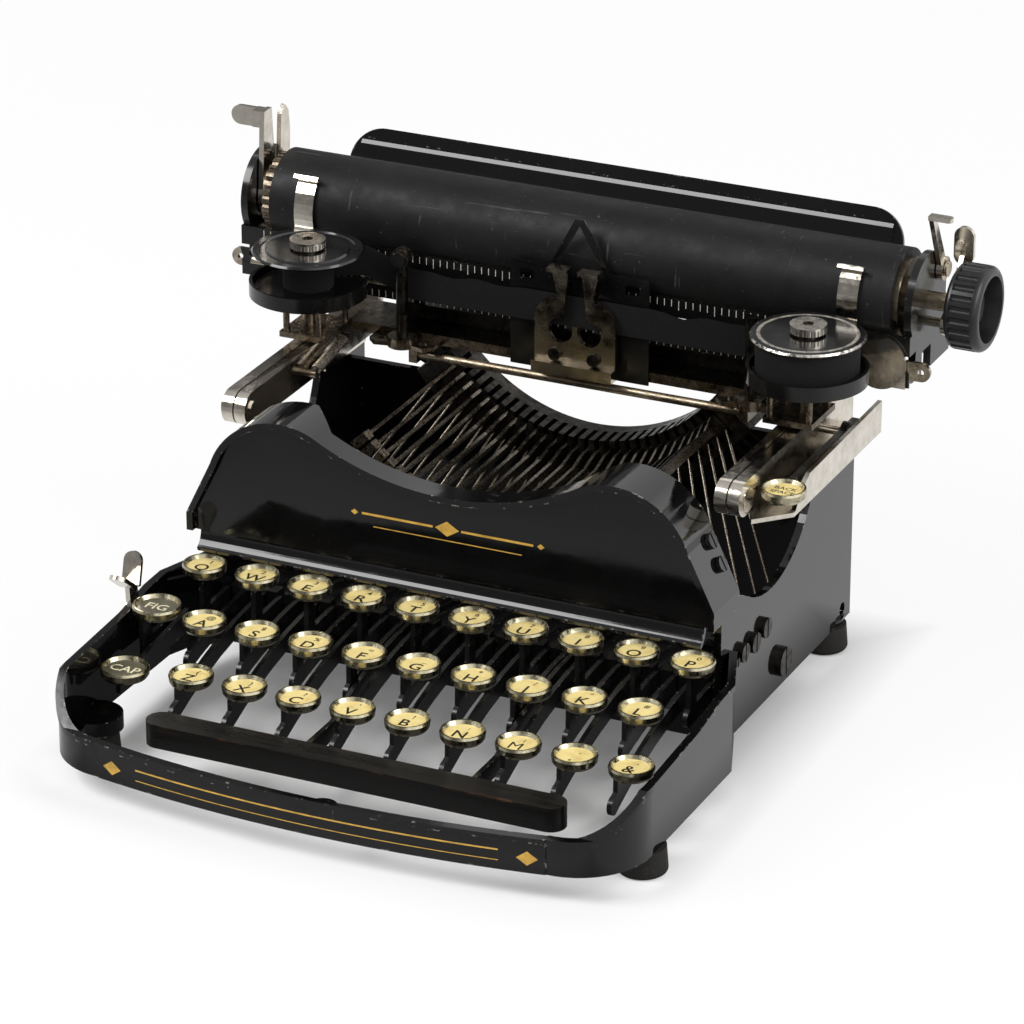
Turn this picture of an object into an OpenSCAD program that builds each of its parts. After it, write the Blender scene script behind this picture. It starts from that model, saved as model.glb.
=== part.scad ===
// Folding portable typewriter with a three-row keyboard.
// Origin: middle of the footprint at table level. +X right, +Y back, +Z up. Millimetres.

/* [Frame] */
// Half width of the body walls, outside
body_half = 91; // [88:0.5:94]
// Thickness of the body walls
wall = 2.5; // [2:0.1:3]
// Half width of the keyboard rim, outside
rim_half = 100.6; // [99.5:0.2:104]
// Thickness of the rim sheet
rim_wall = 2; // [1.6:0.1:2.2]
// Back face of the body
rear_y = 94.5; // [94:0.5:98]
// Front of the rim on the centre line
rim_front_y = -124; // [-130:0.5:-122]
// Radius of the bowed rim front
bow_r = 438; // [380:2:500]
// Radius of the rim's front corners
corner_r = 24; // [18:0.5:28]
// Height of the rubber feet
foot_h = 9; // [7:0.5:12]
// Radius of the rubber feet
foot_r = 8; // [7:0.25:9]
// Top of the rim at the front
rim_front_top = 20.5; // [18:0.5:23]
// Top of the rim at the front end of the sides
rim_side_top = 33; // [30:0.5:35]
// Top of the rim where it meets the body
rim_rear_top = 40; // [38:0.5:42]
// Top of the rear uprights that carry the hinge brackets
upright_top = 77; // [75:0.5:79]
// Radius of the rear side holes
side_hole_r = 2.3; // [1.8:0.1:2.4]

/* [Cowl] */
// Front face of the cowl plate
cowl_y = -25; // [-26:0.25:-24]
// Thickness of the cowl plate
cowl_t = 1.6; // [1.2:0.1:2]
// Thickness of the cowl flange
flange_t = 1.2; // [0.8:0.1:1.4]
// Half distance between the two humps
hump_x = 58; // [56:0.5:60]
// Height of the hump centres
hump_z = 70; // [68:0.5:72]
// Radius of the humps
hump_r = 27; // [25:0.5:28]
// Lowest point of the dip between the humps
dip_z = 82.4; // [80:0.2:86]
// Lower end of the cowl plate, where the cove starts
cove_top = 54; // [52:0.5:56]
// Radius of the cove along the foot of the cowl
cove_r = 6; // [5:0.25:7]

/* [Keyboard] */
// Distance between keys in a row
key_pitch = 19.05; // [18.6:0.05:19.3]
// Radius of the letter keys
key_r = 7.3; // [6.8:0.1:7.6]
// Radius of the shift keys
shift_key_r = 8; // [7.5:0.1:8.2]
// Height of a key ring
key_h = 3.6; // [3:0.1:4]
// Distance from row to row, front to back
row_step = 20.65; // [20:0.05:21]
// Rise from row to row
row_rise = 9.05; // [8.5:0.05:9.5]
// Place of the back row
back_row_y = -30.6; // [-31.5:0.1:-30]
// Top of the back row
back_row_z = 45.4; // [44:0.1:46]
// Thickness of the key levers
lever_t = 1.6; // [1.2:0.1:2]
// Height of the key levers
lever_h = 6; // [5:0.25:6.5]
// Place of the lever shaft
shaft_y = 33; // [31:0.5:35]
// Height of the lever shaft
shaft_z = 18; // [17:0.25:20]
// Radius of the lever shaft
shaft_r = 2; // [1.5:0.1:2.4]
// Running clearance of levers, pins and rods
run_gap = 0.05; // [0.03:0.01:0.1]
// Length of the space bar
space_len = 144; // [130:1:150]
// Front to back width of the space bar
space_w = 10; // [8:0.5:11]
// Top of the space bar
space_top = 22; // [21:0.5:24]

/* [Type basket] */
// Radius from the printing point to the typebar pivots
pivot_r = 68; // [66:0.5:69]
// Height of the printing point
print_z = 122; // [121:0.5:124]
// Place of the typebar pivots
pivot_y = 82; // [81:0.5:84]
// Half angle of the typebar fan
fan_half = 48; // [44:0.5:50]
// Thickness of a typebar
bar_t = 1.1; // [0.8:0.1:1.3]
// Width of a segment slot
slot_w = 1.7; // [1.5:0.1:2]
// Radius of the pivot wire
wire_r = 0.8; // [0.6:0.05:1]

/* [Fold] */
// Place of the fold pivots
fold_y = 1.1; // [0:0.1:3]
// Height of the fold pivots
fold_z = 87.7; // [87:0.1:89]
// Half height of the fold arms
arm_half = 5.75; // [5:0.05:6]
// Radius of the fold pins
pin_r = 2.5; // [2:0.1:3]
// Inner face of the carriage arms
arm_x = 82.4; // [81:0.1:82.6]
// Thickness of the arms and brackets
arm_t = 4; // [3.5:0.1:4]
// Side gap between arm and bracket
arm_gap = 0.5; // [0.3:0.1:0.6]

/* [Carriage] */
// Place of the platen axis
platen_y = 94.5; // [94:0.1:95.5]
// Height of the platen axis
platen_z = 125; // [124:0.1:126]
// Radius of the platen
platen_r = 16; // [15.5:0.1:16.3]
// Left end of the platen
platen_left = -116; // [-118:0.5:-114]
// Right end of the platen
platen_right = 107.6; // [105:0.2:108]
// Radius of the platen knob
knob_r = 14.2; // [13:0.2:15]
// Length of the platen knob
knob_len = 11.8; // [10:0.2:13]
// Radius of the platen shaft
platen_shaft_r = 3; // [2.5:0.1:3.2]
// Radius of the carriage rods
rod_r = 3; // [2.5:0.1:3.2]
// Height of the carriage rods
rod_z = 104; // [103.5:0.1:104.5]
// Radius of the lift pins
lift_r = 2.5; // [2:0.1:2.8]
// Half width of the paper table
table_half = 100.8; // [96:0.2:104]
// Lean of the paper table, degrees from upright
table_lean = 22; // [20:0.5:24]

/* [Ribbon] */
// Half distance between the spools
spool_x = 89.2; // [88:0.1:90]
// Place of the spools
spool_y = 55; // [53:0.2:55.4]
// Radius of the spool flanges
spool_r = 18.8; // [17.5:0.1:19]
// Outer radius of the spool cups
cup_r = 19.8; // [19.5:0.1:20.5]
// Ribbon width
ribbon_w = 11; // [10.5:0.1:11.2]
// Ribbon thickness
ribbon_t = 0.4; // [0.3:0.05:0.5]

/* [Hidden] */
$fn = 48;
letter_names = ["q", "a", "z", "w", "s", "x", "e", "d", "c", "r", "f", "v", "t", "g", "b",
    "y", "h", "n", "u", "j", "m", "i", "k", "period", "o", "l", "ampersand", "p"];
key_nodes = [for (n = letter_names) str("key_", n)];

// Small overlap that joins the solids of one piece
join = 0.4;
// Seat clearance between neighbouring pieces
seat = 0.3;
// Hairline between the castings of the frame
seam = 0.02;
body_in = body_half - wall;
bow_y = rim_front_y + bow_r;
corner_x = rim_half - corner_r;
corner_y = bow_y - sqrt(pow(bow_r - corner_r, 2) - pow(corner_x, 2));
flare_start_y = -30;
flare_end_y = -5;
lap_end_y = -9;
bar_half = 70;
wall_front_y = -17;
wall_front_top = 58;
foot_spots = [[rim_half - 5.7, -86.1], [body_half - 5, 84.2]];
side_hole_y = 87.3;
side_hole_z = foot_h + 4.4;
lever_pitch = key_pitch / 3;
lever_shift = 1;
row_x = [0.4, 4.7, 4.4];
lever_peak_y = -14;
lever_peak_z = 27;
lever_bow = 0.0034;
space_flat_y = -70;
space_y = -95.6;
space_x = 1.5;
fan_step = 2 * fan_half / 27;
segment_in = pivot_r - 8;
segment_out = pivot_r + 8;
segment_y = pivot_y - 4;
bracket_x = arm_x + arm_t + arm_gap;
arm_rear_y = 97;
bed_z = 87;
bed_t = 3.5;
bed_front_y = 76.9;
lift_x = 66;
lift_y = 94;
lift_top = 107.5;
beam_bottom = bed_z + bed_t + 0.5;
beam_top = 100;
rod_ys = [82, 107];
block_half = 18;
left_plate_x = -126.6;
right_plate_x = 112.5;
plate_t = 2.5;
deck_z = 96.5;
deck_t = 2;
cup_z = 107.6;
cup_floor = 1.2;
cup_wall = 1.2;
cup_h = 5;
flange_bottom = cup_z + cup_floor + 0.5;
flange_top = 123.4;
spindle_r = 2;
ribbon_z = flange_bottom + 1.2 + seat;
ribbon_low = 102.7;
ribbon_y = 75;

// Points along an arc, angles in degrees
function arc(c, r, a0, a1, n = 10) =
    [for (i = [0 : n]) let (a = a0 + (a1 - a0) * i / n) [c[0] + r * cos(a), c[1] + r * sin(a)]];

// A profile drawn in Y and Z, swept along X from x0
module along_x(x0, len) {
    translate([x0, 0, 0])
        rotate([90, 0, 90])
            linear_extrude(len)
                children();
}

// A profile drawn in X and Z, swept along Y from y0
module along_y(y0, len) {
    translate([0, y0 + len, 0])
        rotate([90, 0, 0])
            linear_extrude(len)
                children();
}

// Cylinder along X
module rod_x(x0, len, y, z, r) {
    translate([x0, y, z])
        rotate([0, 90, 0])
            cylinder(h = len, r = r);
}

// Cylinder along Y
module rod_y(y0, len, x, z, r) {
    translate([x, y0 + len, z])
        rotate([90, 0, 0])
            cylinder(h = len, r = r);
}

// Straight rod between two points
module rod_between(a, b, r) {
    d = b - a;
    translate(a)
        rotate([0, acos(d[2] / norm(d)), atan2(d[1], d[0])])
            cylinder(h = norm(d), r = r);
}

// The piece and its mirror image across the middle
module both_sides() {
    children();
    mirror([1, 0, 0])
        children();
}

// Plan of the keyboard rim, drawn in by i
module rim_plan(i) {
    intersection() {
        translate([0, bow_y])
            circle(bow_r - i, $fn = 360);
        translate([-corner_x, rim_front_y - 5])
            square([2 * corner_x, corner_y - rim_front_y + 5]);
    }
    for (s = [-1, 1])
        translate([s * corner_x, corner_y])
            circle(corner_r - i);
    translate([-rim_half + i, corner_y])
        square([2 * (rim_half - i), flare_start_y - corner_y]);
    polygon([[-rim_half + i, flare_start_y], [rim_half - i, flare_start_y],
        [body_half - i, flare_end_y], [-body_half + i, flare_end_y]]);
}

// Top line of the rim from front to back
rim_line = [[rim_front_y - 6, rim_front_top], [-113, rim_front_top + 1], [-97, rim_side_top],
    [-58, rim_side_top + 2.5], [-41, rim_rear_top - 1.5], [flare_end_y, rim_rear_top]];

// Side view of the keyboard rim
module rim_side() {
    polygon(concat([[rim_front_y - 6, foot_h]], rim_line, [[flare_end_y, foot_h]]));
}

// Side view of the rolled edge along the top of the rim
module rim_edge() {
    low = [for (i = [len(rim_line) - 1 : -1 : 0]) rim_line[i] - [0, 1.8]];
    polygon(concat(rim_line, low));
}

// Side view of a body wall with its hand notch
notch_y = 24;
notch_z = 86;
notch_r = 38.5;
module wall_side() {
    polygon(concat([[wall_front_y, foot_h], [wall_front_y, wall_front_top], [-6, wall_front_top]],
        arc([notch_y, notch_z], notch_r, -120, asin((upright_top - notch_z) / notch_r), 24),
        [[rear_y, upright_top], [rear_y, foot_h]]));
}

// Front outline of the cowl, drawn in by i
hump_angle = 26;
blend = 0.06;
side_r = hump_r - 0.2;
cowl_half = body_half + 0.4 + flange_t;
dip_r = (pow(hump_x, 2) + pow(dip_z - hump_z, 2) - pow(hump_r, 2)) / (2 * (hump_r - dip_z + hump_z));
dip_mid = dip_z + dip_r;
shoulder_z = hump_z + side_r * sin(hump_angle)
    - (cowl_half - hump_x - side_r * cos(hump_angle)) / tan(hump_angle);
module cowl_outline(i) {
    r = side_r - i;
    near = 0.985 * (hump_r - i);
    reach = norm([hump_x, dip_mid - hump_z]);
    meet = [hump_x * (1 - near / reach), hump_z + near * (dip_mid - hump_z) / reach];
    difference() {
        union() {
            for (s = [-1, 1])
                translate([s * hump_x, hump_z])
                    circle(hump_r - i, $fn = 96);
            polygon([[cowl_half - i, cove_top], [cowl_half - i, shoulder_z],
                [hump_x + r * cos(hump_angle), hump_z + r * sin(hump_angle)], [hump_x, hump_z], meet,
                [-meet[0], meet[1]], [-hump_x, hump_z],
                [-hump_x - r * cos(hump_angle), hump_z + r * sin(hump_angle)],
                [-cowl_half + i, shoulder_z], [-cowl_half + i, cove_top]]);
        }
        translate([0, dip_mid])
            circle(dip_r + i + blend, $fn = 180);
        translate([-2 * cowl_half, cove_top - 2 * hump_r])
            square([4 * cowl_half, 2 * hump_r]);
    }
}

// Keyboard rim: front bar and two side rails with a rolled edge, front foot pads and the lug of the catch
module keyboard_rim() {
    difference() {
        union() {
            intersection() {
                linear_extrude(rim_rear_top + 5)
                    difference() {
                        rim_plan(0);
                        rim_plan(rim_wall);
                    }
                along_x(-rim_half - 5, 2 * rim_half + 10)
                    rim_side();
            }
            intersection() {
                linear_extrude(rim_rear_top + 5)
                    difference() {
                        rim_plan(-0.7);
                        rim_plan(rim_wall);
                    }
                along_x(-rim_half - 5, 2 * rim_half + 10)
                    rim_edge();
            }
            both_sides()
                intersection() {
                    translate([foot_spots[0][0], foot_spots[0][1], foot_h])
                        cylinder(h = 5, r = foot_r + 1);
                    translate([0, -200, 0])
                        cube([rim_half - 0.5, 250, 50]);
                }
            translate([4, rim_front_y + 2, foot_h + 7])
                cylinder(h = 3, r = 5);
        }
        both_sides()
            translate([bar_half, rim_front_y - 5, 0])
                cube([seam, 30, 60]);
        translate([-body_half - seam, wall_front_y - seam, 0])
            cube([2 * (body_half + seam), 60, 100]);
        translate([-rim_half - 5, lap_end_y, 0])
            cube([2 * rim_half + 10, 60, 100]);
        rod_x(-rim_half - 3, rim_wall + 6, lock_y, lock_z, lock_pin_r + run_gap);
        translate([-rim_half, rim_front_y - 12, 0])
            cube([2 * rim_half, 12, 60]);
    }
}

// Right side wall with its hand notch, the cheek behind the cowl and the rear foot pad
module side_wall() {
    difference() {
        union() {
            along_x(body_in, wall)
                wall_side();
            intersection() {
                along_y(wall_front_y, 9)
                    difference() {
                        cowl_outline(flange_t + 0.05);
                        cowl_outline(flange_t + wall);
                    }
                translate([hump_x + 14, wall_front_y, wall_front_top - 2])
                    cube([40, 9, 60]);
            }
            intersection() {
                translate([foot_spots[1][0] - 2, foot_spots[1][1] + 1.4, foot_h])
                    cylinder(h = 2, r = foot_r);
                cube([2 * body_half, rear_y - wall - seam, 50]);
            }
        }
        rod_x(body_in - 1, wall + 2, side_hole_y, side_hole_z, side_hole_r);
    }
}

// Rear wall between the side walls, cut out round the segment
module rear_wall() {
    along_y(rear_y - wall, wall)
        difference() {
            translate([-body_in + seam, foot_h])
                square([2 * (body_in - seam), upright_top - 7 - foot_h]);
            translate([0, print_z])
                circle(segment_in + 6, $fn = 120);
        }
}

// Frame castings, screwed together
module base_frame() {
    color("#141416") {
        keyboard_rim();
        both_sides()
            side_wall();
        rear_wall();
    }
}

// Glossy cowl with two humps, a rolled front edge and a cove along its foot
bead = 2.2;
flange_rear = cowl_y + 18;
module front_cowl() {
    cove_mid = [cowl_y - cove_r, cove_top];
    color("#101012") {
        difference() {
            along_y(cowl_y - 2, flange_rear - cowl_y + 2)
                cowl_outline(0);
            along_y(cowl_y - 4, 4)
                cowl_outline(bead);
            along_y(cowl_y + cowl_t, 20)
                cowl_outline(flange_t);
            translate([0, 0, cove_top - 10])
                linear_extrude(120)
                    polygon([[-55, flange_rear + 1], [-44, cowl_y + 7], [44, cowl_y + 7], [55, flange_rear + 1]]);
        }
        along_x(-body_in, 2 * body_in)
            polygon(concat([[cowl_y + 0.1, cove_top + join]], arc(cove_mid, cove_r + 0.1, 0, -60),
                arc(cove_mid, cove_r + cowl_t - 0.1, -60, 0), [[cowl_y + cowl_t - 0.1, cove_top + join]]));
    }
}

// Four round rubber feet
module rubber_feet() {
    color("#1b1b1b")
        for (spot = foot_spots, s = [-1, 1])
            translate([s * spot[0], spot[1], 0])
                rotate_extrude()
                    polygon(concat([[0, 0]], arc([foot_r - 1.5, 1.5], 1.5, -90, 0, 6),
                        [[foot_r - 0.6, foot_h], [0, foot_h]]));
}

// Slotted screw head lying on a wall that faces +X
module screw_head(r, h) {
    rotate([0, 90, 0])
        difference() {
            cylinder(h = h, r = r);
            translate([-r, -0.4, h - 0.7])
                cube([2 * r, 0.8, 1]);
        }
}

// Screws of the side walls and of the cowl flange
wall_screws = [[17.5, 36.6, 3.4], [8.4, 35.2, 3.4], [-0.6, 35.6, 3.2], [-7.1, 35, 1.6]];
module frame_screws() {
    color("#3c3834")
        both_sides() {
            for (s = wall_screws)
                translate([body_half, s[0], s[1]])
                    screw_head(s[2], 1.8);
            translate([body_half, shaft_y, shaft_z])
                screw_head(5, 2.2);
            for (d = [5, 13])
                translate([hump_x + hump_r * cos(hump_angle) + d * sin(hump_angle), cowl_y + 13,
                        hump_z + hump_r * sin(hump_angle) - d * cos(hump_angle)])
                    rotate([0, -hump_angle, 0])
                        screw_head(2.6, 1.4);
        }
}

// Lever number i counted from the left
function lever_x(i) = (i - 13.5) * lever_pitch + lever_shift;
space_arm_x = [lever_x(10) + 2.3, lever_x(19) + 2.3];
function key_row(i) = i % 3;
function key_x(i) = lever_x(i) + row_x[key_row(i)];
function key_y(i) = back_row_y - row_step * key_row(i);
function key_z(i) = back_row_z - row_rise * key_row(i);

// Centre line height of a lever at y, falling away in front of its peak and level in front of flat
function lever_line(y, flat = -200) = y > lever_peak_y
    ? shaft_z + (lever_peak_z - shaft_z) * (shaft_y - y) / (shaft_y - lever_peak_y)
    : lever_peak_z - lever_bow * pow(lever_peak_y - max(y, flat), 2);

// Side view of a bowed lever that ends at front
module lever_side(front, flat = -200) {
    h = lever_h / 2;
    bend = max(front, flat);
    steps = concat([for (k = [0 : 6]) lever_peak_y + (bend - lever_peak_y) * k / 6], [front - 0.01]);
    difference() {
        union() {
            polygon(concat([[shaft_y + 13, shaft_z - 2], [shaft_y + 13, shaft_z + 3], [shaft_y, shaft_z + 3.5]],
                [for (y = steps) [y, lever_line(y, flat) + h]],
                [for (k = [7 : -1 : 0]) [steps[k], lever_line(steps[k], flat) - h]],
                [[shaft_y, shaft_z - 3.5]]));
            translate([front, lever_line(front, flat)])
                circle(h);
            translate([shaft_y, shaft_z])
                circle(4.5);
        }
        translate([shaft_y, shaft_z])
            circle(shaft_r + run_gap);
    }
}

// Key top: rolled ring with a sloped inside and a recessed disc
disc_depth = 1.2;
module key_top(r) {
    translate([0, 0, -key_h])
        rotate_extrude()
            polygon([[0, 0], [r - 0.9, 0], [r - 0.2, 1], [r, key_h - 0.8], [r - 0.3, key_h], [r - 0.8, key_h],
                [r - 1.5, key_h - disc_depth], [0, key_h - disc_depth]]);
    translate([0, 0, -key_h - 1])
        cylinder(h = 1.4, r = 3);
}

// Letter key: ring, disc and stem on its lever
module letter_key(i) {
    front = key_y(i) - (key_row(i) == 2 ? 4 : 2);
    stem_top = key_z(i) - key_h + 0.4;
    foot = lever_line(key_y(i));
    color("#1a1a1a") {
        along_x(lever_x(i) - lever_t / 2, lever_t)
            lever_side(front);
        along_x(lever_x(i) - lever_t / 2, lever_t)
            polygon([[key_y(i) - 2.2, foot], [key_y(i) + 3, foot],
                [key_y(i) + 2, stem_top], [key_y(i) - 2, stem_top]]);
        translate([min(lever_x(i), key_x(i)) - lever_t / 2, key_y(i) - 1.5, stem_top - 1.4])
            cube([abs(row_x[key_row(i)]) + lever_t, 3, 1.4]);
    }
    color("#e8dcae")
        translate([key_x(i), key_y(i), key_z(i)])
            key_top(key_r);
}

// Shift key on a short lever that swings on the pin inside the left rim
shift_pin_y = -31;
shift_pin_z = 24;
shift_pin_r = 1.8;
fig_spot = [10.9 - rim_half, -53.3, 39.3];
cap_spot = [10.9 - rim_half, -75.3, 26.8];
fig_lever_x = 6 - rim_half;
cap_lever_x = 9.4 - rim_half;
module shift_key(spot, x) {
    stem_top = spot[2] - key_h + 0.4;
    low = min(stem_top - 3, shift_pin_z);
    color("#1a1a1a") {
        difference() {
            union() {
                along_x(x - 0.8, 1.6)
                    polygon([[shift_pin_y, shift_pin_z + 3.6], [shift_pin_y, shift_pin_z - 3.6],
                        [spot[1] - 2, low - 3], [spot[1] - 2, stem_top], [spot[1] + 2, stem_top],
                        [spot[1] + 4, low + 2]]);
                rod_x(x - 0.8, 1.6, shift_pin_y, shift_pin_z, 3.8);
            }
            rod_x(x - 2, 4, shift_pin_y, shift_pin_z, shift_pin_r + run_gap);
        }
        translate([x - 0.8, spot[1] - 1.5, stem_top - 1.4])
            cube([spot[0] - x + 1.6, 3, 1.4]);
    }
    color("#3d3b36")
        translate(spot)
            key_top(shift_key_r);
}

module key_fig() {
    shift_key(fig_spot, fig_lever_x);
}

module key_cap() {
    shift_key(cap_spot, cap_lever_x);
}

// Long wooden space bar on two lever arms
module space_bar() {
    color("#17120f") {
        translate([space_x, space_y, space_top - 8])
            linear_extrude(8) {
                square([space_len - space_w, space_w], center = true);
                for (s = [-1, 1])
                    translate([s * (space_len - space_w) / 2, 0])
                        circle(space_w / 2);
            }
        for (x = space_arm_x)
            along_x(x - lever_t / 2, lever_t)
                lever_side(space_y, space_flat_y);
    }
}

// Shaft that the levers turn on, slotted comb that guides them, and the pin of the shift keys
comb_y = -14;
comb_top = 31;
comb_slot = 2.6;
module lever_guides() {
    color("#26221e") {
        rod_x(-body_in + 0.1, 2 * body_in - 0.2, shaft_y, shaft_z, shaft_r);
        difference() {
            translate([-body_in + 0.1, comb_y, foot_h + 1])
                cube([2 * body_in - 0.2, 5, comb_top - foot_h - 1]);
            for (x = concat([for (i = [0 : 27]) lever_x(i)], space_arm_x))
                translate([x - comb_slot / 2, comb_y - 1, comb_top - 13])
                    cube([comb_slot, 7, 20]);
        }
        rod_x(-rim_half + rim_wall + 0.1, rim_half - rim_wall - 88, shift_pin_y, shift_pin_z, shift_pin_r);
    }
}

// Typebar number i, drawn in the plane that holds the printing point
module in_fan(i) {
    translate([0, 0, print_z])
        rotate([0, fan_half - i * fan_step, 0])
            translate([0, 0, -print_z])
                children();
}

// Slotted segment that carries the typebars on its pivot wire
module type_segment() {
    span = fan_half + 5;
    reach = 2 * segment_out;
    color("#1c1b1a") {
        difference() {
            along_y(segment_y, rear_y - wall - segment_y)
                translate([0, print_z])
                    intersection() {
                        difference() {
                            circle(segment_out, $fn = 160);
                            circle(segment_in, $fn = 160);
                        }
                        polygon([[0, 0], [-reach * sin(span), -reach * cos(span)],
                            [reach * sin(span), -reach * cos(span)]]);
                    }
            for (i = [0 : 27])
                in_fan(i)
                    translate([-slot_w / 2, segment_y - 1, print_z - segment_out + 3])
                        cube([slot_w, 9.5, segment_out - segment_in - 2]);
        }
        for (i = [0 : 27])
            in_fan(i)
                rod_x(-slot_w / 2 - join, slot_w + 2 * join, pivot_y, print_z - pivot_r, wire_r, $fn = 16);
    }
}

// Side view of one typebar, pivot end at the back
module typebar_side() {
    z = print_z - pivot_r;
    head_y = pivot_y - pivot_r;
    difference() {
        union() {
            translate([pivot_y, z])
                circle(4.2);
            polygon([[pivot_y, z + 4.2], [pivot_y - 7, z + 4], [pivot_y - 15, z + 2], [head_y, z + 1.3],
                [head_y, z - 1.3], [pivot_y - 15, z - 1], [pivot_y - 6, z - 1.5], [pivot_y - 3, z - 2.9]]);
        }
        translate([pivot_y, z])
            circle(wire_r + 0.15);
    }
}

// Twenty-eight typebars with their type slugs, and the wire links below them
module typebars() {
    z = print_z - pivot_r;
    head_y = pivot_y - pivot_r;
    color("#a39c90")
        for (i = [0 : 27]) {
            in_fan(i) {
                along_x(-bar_t / 2, bar_t)
                    typebar_side();
                translate([-1.5, head_y - 2, z - 1.3])
                    cube([3, 3.6, 6.4]);
            }
            a = fan_half - i * fan_step;
            link_r = pivot_r + 2.5;
            rod_between([-link_r * sin(a), pivot_y - 4.8, print_z - link_r * cos(a)],
                [lever_x(i), shaft_y + 11, shaft_z + 6], 0.5);
        }
}

// Side view of a fold arm from its pivot to y1
module arm_side(y1) {
    translate([fold_y, fold_z])
        circle(arm_half);
    translate([fold_y, fold_z - arm_half])
        square([y1 - fold_y, 2 * arm_half]);
}

// Fixed brackets on the uprights with the fold pins, and the channel of the back-space lever
channel_w = 10;
channel_t = 1.5;
channel_front = 17;
module hinge_brackets() {
    outer = bracket_x + arm_t;
    color("#cfc6b4") {
        both_sides() {
            along_x(bracket_x, arm_t)
                arm_side(rear_y - 2);
            translate([bracket_x, 62, upright_top])
                cube([arm_t, rear_y - 64, fold_z - arm_half - upright_top + join]);
            rod_x(arm_x - 0.6, outer - arm_x + 1, fold_y, fold_z, pin_r);
            rod_x(outer - join, 1 + join, fold_y, fold_z, pin_r + 1.6);
        }
        translate([0, 0, upright_top])
            linear_extrude(channel_t)
                polygon([[outer - join, 6], [outer + channel_w, channel_front], [outer + channel_w, rear_y - 2],
                    [outer - join, rear_y - 2]]);
        translate([outer - join, 6, upright_top])
            cube([join, rear_y - 8, fold_z - upright_top]);
        along_x(outer + channel_w - channel_t, channel_t)
            polygon([[channel_front, upright_top], [channel_front + 5, upright_top + 6],
                [channel_front + 13, upright_top + 10], [rear_y - 2, upright_top + 11], [rear_y - 2, upright_top]]);
        rod_x(outer - join, channel_w, back_pin_y, back_pin_z, 1.5);
    }
}

// Back-space key on its lever in the right-hand channel
back_pin_y = 72;
back_pin_z = 84;
back_key = [98.8, 13.2, 88.4];
back_lever_x = 96.6;
module back_space_key() {
    stem_top = back_key[2] - key_h + 0.4;
    color("#1a1a1a") {
        difference() {
            union() {
                along_x(back_lever_x - 1.2, 2.4)
                    polygon([[back_key[1] - 3, 83], [back_key[1] - 3, stem_top], [back_key[1] + 3, stem_top],
                        [back_key[1] + 8.5, 86], [back_pin_y + 8, 86], [back_pin_y + 8, 82.5],
                        [back_pin_y - 10, 82.5]]);
                rod_x(back_lever_x - 1.2, 2.4, back_pin_y, back_pin_z, 3.6);
            }
            rod_x(back_lever_x - 3, 6, back_pin_y, back_pin_z, 1.5 + run_gap);
        }
        translate([back_lever_x, back_key[1] - 3, stem_top - 1.6])
            cube([back_key[0] - back_lever_x + 1, 6, 1.6]);
    }
    color("#e8dcae")
        translate(back_key)
            key_top(key_r);
}

// Nickel shift lock: hub on a pin through the rim, upper paddle and thumb piece
lock_y = -46;
lock_z = 32;
lock_pin_r = 1.5;
module shift_lock_lever() {
    x = -rim_half - 0.7 - seat;
    color("#d8d0c0") {
        rod_x(x - 1.6, 1.6, lock_y, lock_z, 4.5);
        rod_x(x - join, rim_wall + 2, lock_y, lock_z, lock_pin_r);
        along_x(x - 1.6, 1.6)
            polygon([[lock_y - 3, lock_z], [lock_y + 3, lock_z], [lock_y + 1, lock_z + 10], [lock_y - 4, lock_z + 10]]);
        translate([x - 1.2, lock_y - 1.5, lock_z + 9])
            rotate([-14, 0, 0])
                along_y(-0.7, 1.4) {
                    translate([-2.6, 0])
                        square([6.4, 8]);
                    translate([0.6, 8])
                        circle(3.2);
                }
        translate([x - 0.8, lock_y - 3, lock_z + 9])
            rotate([52, 0, 0])
                along_y(-0.7, 1.4) {
                    translate([-3, 0])
                        square([6.2, 8]);
                    translate([0.1, 8])
                        circle(3.1);
                }
    }
}

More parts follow.
